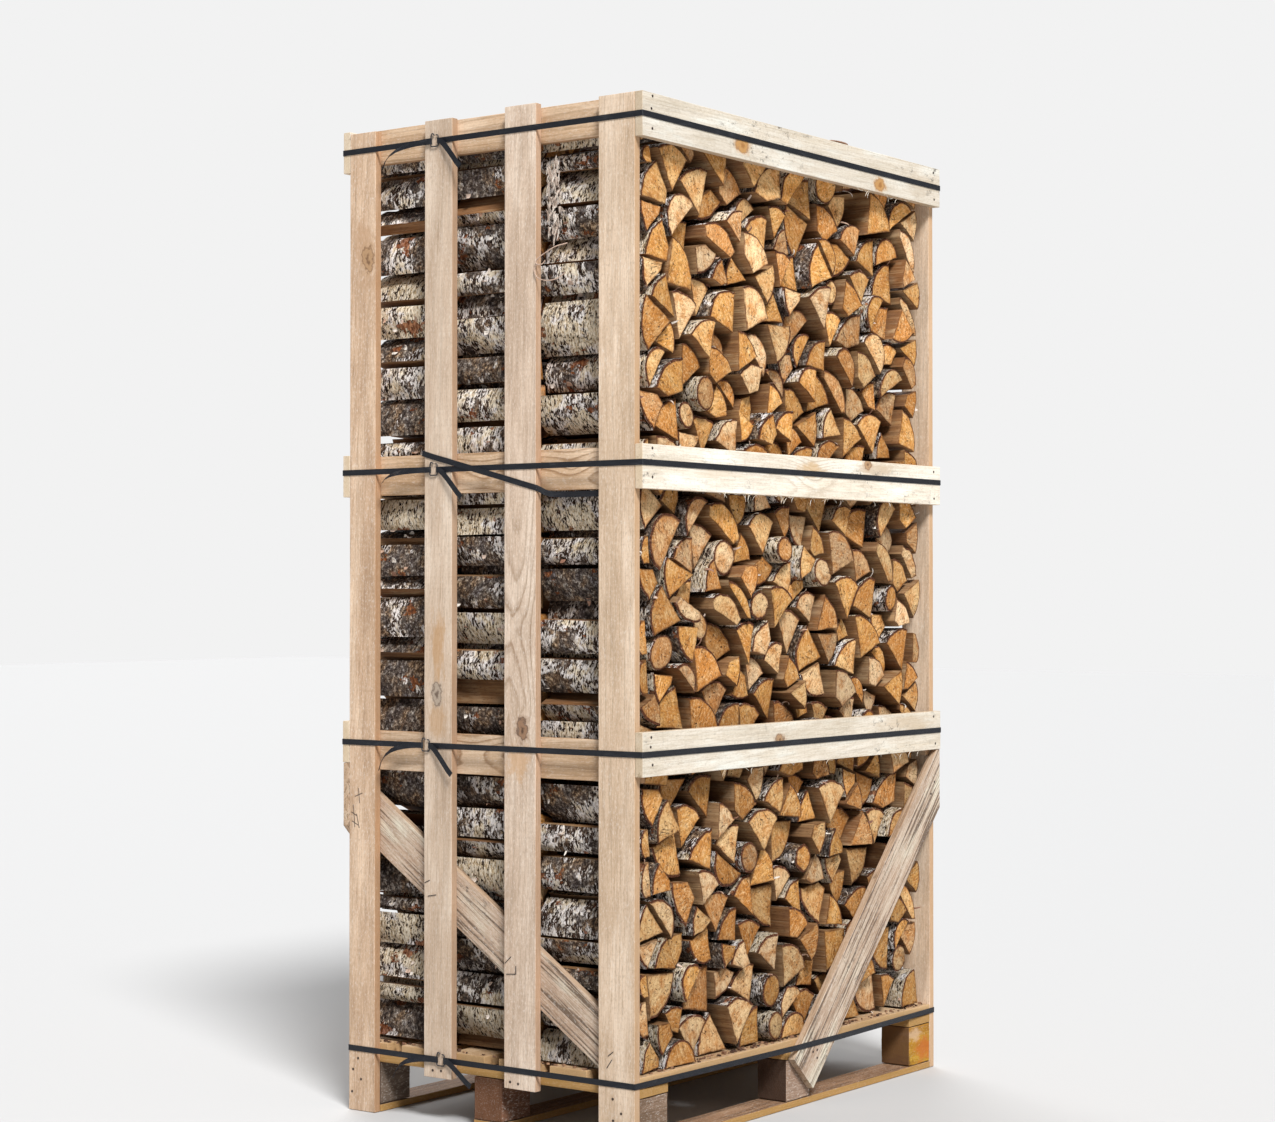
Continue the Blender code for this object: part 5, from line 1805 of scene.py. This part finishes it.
def add_curl(heap, start, way, side, length, width, thickness, curl, tone, limit=None):
    """A ribbon from start that leaves along way and curls about side by curl radians.

    No point of it comes further forward than limit.
    """
    point = np.array(start, float)
    side = np.array(side, float) / np.linalg.norm(side)
    way = np.array(way, float)
    way -= side * (way @ side)
    way /= np.linalg.norm(way)
    rings = []
    for step in range(CURL_STEPS + 1):
        share = step / CURL_STEPS
        half = 0.5 * width * math.sqrt(max(0.02, 1.0 - share ** 2))
        up = np.cross(side, way) * thickness / 2
        ring = np.array([point - side * half - up, point + side * half - up,
                         point + side * half + up, point - side * half + up])
        if limit is not None:
            ring[:, 1] = np.maximum(ring[:, 1], limit)
        rings.append(ring)
        point = point + way * length / CURL_STEPS
        way = turned_about(way, side, curl * (0.4 + 1.2 * share) / CURL_STEPS)
    starts = [heap.add_points(ring, ring * 1.0, tone) for ring in rings]
    skin = np.zeros((4, 4, 2))
    for first, second in zip(starts, starts[1:]):
        heap.add_faces(strip(first, second, 4), 0, skin)
    corners = np.arange(4)[None, :]
    heap.add_faces(starts[0] + corners, 0, skin[:1])
    heap.add_faces(starts[-1] + corners[:, ::-1], 0, skin[:1])


def loose_piece(heap, name, turned, finish):
    piece = laid_out(heap, name, turned, 50)
    finish_piece(piece, name, [finish], [])
    print(name, len(piece.data.polygons), "faces")


# %% Finishes for the small things
def shred_finish(name, light, mid, dark):
    """Light to dark, by the first of the three numbers that each shred carries."""
    finish, tree = new_finish(name, roughness=0.8, specular=0.2)
    fleck = noise(tree, attribute(tree, "grain")[0], (260.0, 260.0, 260.0), 4.0, 0.7)
    colour = ramp(tree, attribute(tree, "tone")[1], (0.0, light), (0.55, mid), (1.0, dark))
    to_shader(tree, "Base Color", paint(tree, colour, toned(dark, 0.35), fleck, 0.50, 0.68, 0.7))
    bump(tree, fleck, 0.0006)
    return finish


SHRED_FINISH = shred_finish("bark_shred", (0.86, 0.80, 0.72), (0.55, 0.36, 0.26),
                            (0.24, 0.10, 0.06))
SPLINTER_FINISH = shred_finish("wood_splinter", (0.92, 0.87, 0.78), (0.84, 0.74, 0.58),
                               (0.62, 0.44, 0.26))
CRUMB_FINISH = shred_finish("bark_crumb", (0.42, 0.24, 0.14), (0.14, 0.07, 0.045),
                            (0.05, 0.03, 0.022))
print("finishes for shreds, splinters and crumbs")

# %% Curls of bark at the logs' ends
FRONT_LIMIT, CURLED_SHARE, SHRED_THICKNESS = -0.4195, 0.30, 0.0005
TO_FRONT, TO_BACK = np.array([0.0, -1.0, 0.0]), np.array([0.0, 1.0, 0.0])


def on_log(point, depth):
    """A point of a log's section, as a place in the crate."""
    return np.array([point[0], depth, point[1]]) + ROW_PLACE


def shred_tone(luck, power):
    """The three numbers of a shred. A high power leaves few dark ones."""
    return luck.uniform(0.0, 1.0) ** power, luck.uniform(), luck.uniform()


def end_curls(heap, spots, luck):
    """Curls that stick out of the cut bark at the logs' front ends."""
    for rings, depths, sides, heart, _ in spots:
        if luck.uniform() > CURLED_SHARE:
            continue
        point = rings[0][luck.choice(np.flatnonzero(sides))]
        outward = point - heart
        outward = np.array([outward[0], 0.0, outward[1]]) / np.hypot(*outward)
        tangent = np.cross(outward, TO_BACK)
        start = on_log(point, depths[0] + 0.006) + outward * 0.0006
        way = TO_FRONT + outward * luck.uniform(0.1, 0.9) + tangent * luck.uniform(-0.5, 0.5)
        tone = shred_tone(luck, 1.5)
        length, width = luck.uniform(0.010, 0.026), luck.uniform(0.0025, 0.0075)
        bend = luck.uniform(0.8, 3.2) * luck.choice((-1, 1))
        add_curl(heap, start, way, tangent, length, width, SHRED_THICKNESS, bend, tone, FRONT_LIMIT)


# %% Curls of bark along the logs
def side_curls(heap, spots, luck):
    """Curls that peel off the bark of the logs at the two ends of a row."""
    for rings, depths, sides, heart, outer in spots:
        middle = rings[0].mean(axis=0)[0] - STACK_LENGTH / 2
        if not outer or abs(middle) < 0.45:
            continue
        for _ in range(luck.randint(1, 5)):
            level = luck.randint(2, len(rings) - 2)
            ring = rings[level]
            outward = (ring - heart) / np.hypot(*(ring - heart).T)[:, None]
            facing = np.flatnonzero(sides & (outward[:, 0] * np.sign(middle) > 0.45))
            if not len(facing):
                continue
            index = luck.choice(facing)
            out = np.array([outward[index][0], 0.0, outward[index][1]])
            tangent = np.cross(out, TO_BACK) * luck.choice((-1, 1))
            start = on_log(ring[index], depths[level]) + out * 0.0004
            tone = shred_tone(luck, 2)
            bend = luck.uniform(0.8, 2.6) * np.sign(np.cross(TO_BACK, tangent) @ out)
            length, width = luck.uniform(0.006, 0.018), luck.uniform(0.004, 0.016)
            add_curl(heap, start, tangent + out * 0.15, TO_BACK, length, width, SHRED_THICKNESS, bend, tone)


for row in ("front", "middle", "back"):
    luck = np.random.RandomState(ROW_SEEDS[row] + 5)
    curls = Heap()
    if row != "middle":
        end_curls(curls, bark_spots[row], luck)
    side_curls(curls, bark_spots[row], luck)
    loose_piece(curls, f"bark_curls_{row}", row == "back", SHRED_FINISH)

# %% The long curls beside the second slat
LONG_CURLS = (
    [(-0.590, -0.200, 1.908), (-0.612, -0.184, 1.900), (-0.621, -0.152, 1.881),
     (-0.6225, -0.138, 1.870), (-0.6225, -0.143, 1.862), (-0.621, -0.158, 1.863),
     (-0.620, -0.163, 1.871)],
    [(-0.6215, -0.143, 1.866), (-0.6225, -0.135, 1.853), (-0.6225, -0.138, 1.841),
     (-0.6225, -0.149, 1.831), (-0.620, -0.171, 1.826), (-0.616, -0.195, 1.830),
     (-0.612, -0.211, 1.842)],
)
CURL_RADIUS, CURL_BEND = 0.0013, 0.010
strands = []
for bends in LONG_CURLS:
    strand = wire(rounded_path(bends, CURL_BEND, 6), CURL_RADIUS, 1)
    write_vectors(strand.data, "grain", mesh_points(strand.data))
    write_vectors(strand.data, "tone", np.tile((0.45, 0.5, 0.5), (len(strand.data.vertices), 1)))
    strands.append(strand)
finish_piece(joined(strands), "bark_long_curls", [SHRED_FINISH], [])
print(len(strands), "long curls")

# %% A frayed edge of bark, and a scrap on the top rail
FRAYED_STRIPS, FRAYED_THICKNESS = 80, 0.0006
SCRAP_START, SCRAP_WAY = (0.120, -0.410, 2.2060), (1.0, 0.0, 0.09)


def frayed_edge(seed):
    luck = np.random.RandomState(seed)
    heap = Heap()
    for _ in range(FRAYED_STRIPS):
        start = [luck.uniform(*span) for span in ((-0.590, -0.583), (-0.176, -0.146), (1.925, 2.085))]
        way = (luck.uniform(-0.35, 0.0), luck.uniform(-0.1, 0.5), luck.choice([-1.0, 1.0]))
        tone = (luck.uniform(0.0, 0.3), luck.uniform(), luck.uniform())
        length, width = luck.uniform(0.012, 0.030), luck.uniform(0.002, 0.006)
        bend = luck.uniform(-1.2, 1.2)
        add_curl(heap, start, way, (0.15, 1.0, 0.1), length, width, FRAYED_THICKNESS, bend, tone)
    return heap


loose_piece(frayed_edge(71), "bark_frayed_edge", False, SHRED_FINISH)
scrap = Heap()
add_curl(scrap, SCRAP_START, SCRAP_WAY, TO_BACK, 0.085, 0.017, 0.0018, 0.20, (0.7, 0.5, 0.5))
loose_piece(scrap, "bark_scrap_on_rail", False, SHRED_FINISH)

# %% Splinters under the rails
# For each stretch of a rail: its level, its two ends in X, and how many splinters hang there.
SPLINTER_RANGES = (("middle", -0.36, 0.17, 52), ("middle", 0.30, 0.55, 10),
                   ("top", 0.22, 0.50, 14), ("low", -0.50, 0.55, 16))
SPLINTER_LIMIT, SPLINTER_THICKNESS = -0.4210, 0.0006


def rail_splinters(seed):
    luck = np.random.RandomState(seed)
    heap = Heap()
    for level, low, high, count in SPLINTER_RANGES:
        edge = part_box(f"side_rail_front_{level}")[0]
        for _ in range(count):
            start = (luck.uniform(low, high), edge.y + luck.uniform(0.0008, 0.006), edge.z + 0.001)
            angle = luck.choice((0.0, math.pi)) + luck.uniform(-0.5, 0.5)
            way = (math.cos(angle), luck.uniform(-0.1, 0.1), -abs(math.sin(angle)) - 0.15)
            tone = shred_tone(luck, 2)
            length, width = luck.uniform(0.006, 0.030), luck.uniform(0.0008, 0.0016)
            bend = luck.uniform(0.5, 2.6) * luck.choice((-1, 1))
            add_curl(heap, start, way, TO_BACK, length, width, SPLINTER_THICKNESS, bend, tone,
                     SPLINTER_LIMIT)
    return heap


loose_piece(rail_splinters(51), "rail_splinters_front", False, SPLINTER_FINISH)
loose_piece(rail_splinters(52), "rail_splinters_back", True, SPLINTER_FINISH)

# %% Crumbs on the deck
CHIP_CORNERS = np.array(list(itertools.product((-0.5, 0.5), repeat=3)))
CHIP_FACES = np.array([(0, 1, 3, 2), (4, 6, 7, 5), (0, 4, 5, 1),
                       (2, 3, 7, 6), (0, 2, 6, 4), (1, 5, 7, 3)])
FRONT_CRUMBS, SIDE_CRUMBS = 190, 70


def add_chip(heap, place, size, turn, luck):
    corners = CHIP_CORNERS * size * luck.uniform(0.55, 1.0, (8, 3))
    cos, sin = math.cos(turn), math.sin(turn)
    corners = corners @ np.array([[cos, sin, 0], [-sin, cos, 0], [0, 0, 1]])
    corners[:, 2] -= corners[:, 2].min()
    tone = luck.uniform(0, 1, 3)
    start = heap.add_points(corners + place, corners + place, tone)
    heap.add_faces(CHIP_FACES + start, 0, np.zeros((6, 4, 2)))


def deck_crumbs(seed):
    """Crumbs in front of the logs and beside them, on top of the deck."""
    luck = np.random.RandomState(seed)
    heap = Heap()
    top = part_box("pallet_deck_board_1")[1].z + 0.0002
    for index in range(FRONT_CRUMBS + SIDE_CRUMBS):
        if index < FRONT_CRUMBS:
            place = (luck.uniform(-0.57, 0.57), luck.uniform(-0.394, -0.370), top)
        else:
            place = (luck.uniform(-0.594, -0.580), luck.uniform(-0.39, 0.39), top)
        length = luck.uniform(0.003, 0.011)
        size = length * np.array([1.0, luck.uniform(0.4, 0.9), luck.uniform(0.25, 0.6)])
        add_chip(heap, place, size, luck.uniform(0, 2 * math.pi), luck)
    return heap


loose_piece(deck_crumbs(61), "deck_crumbs_front", False, CRUMB_FINISH)
loose_piece(deck_crumbs(62), "deck_crumbs_back", True, CRUMB_FINISH)
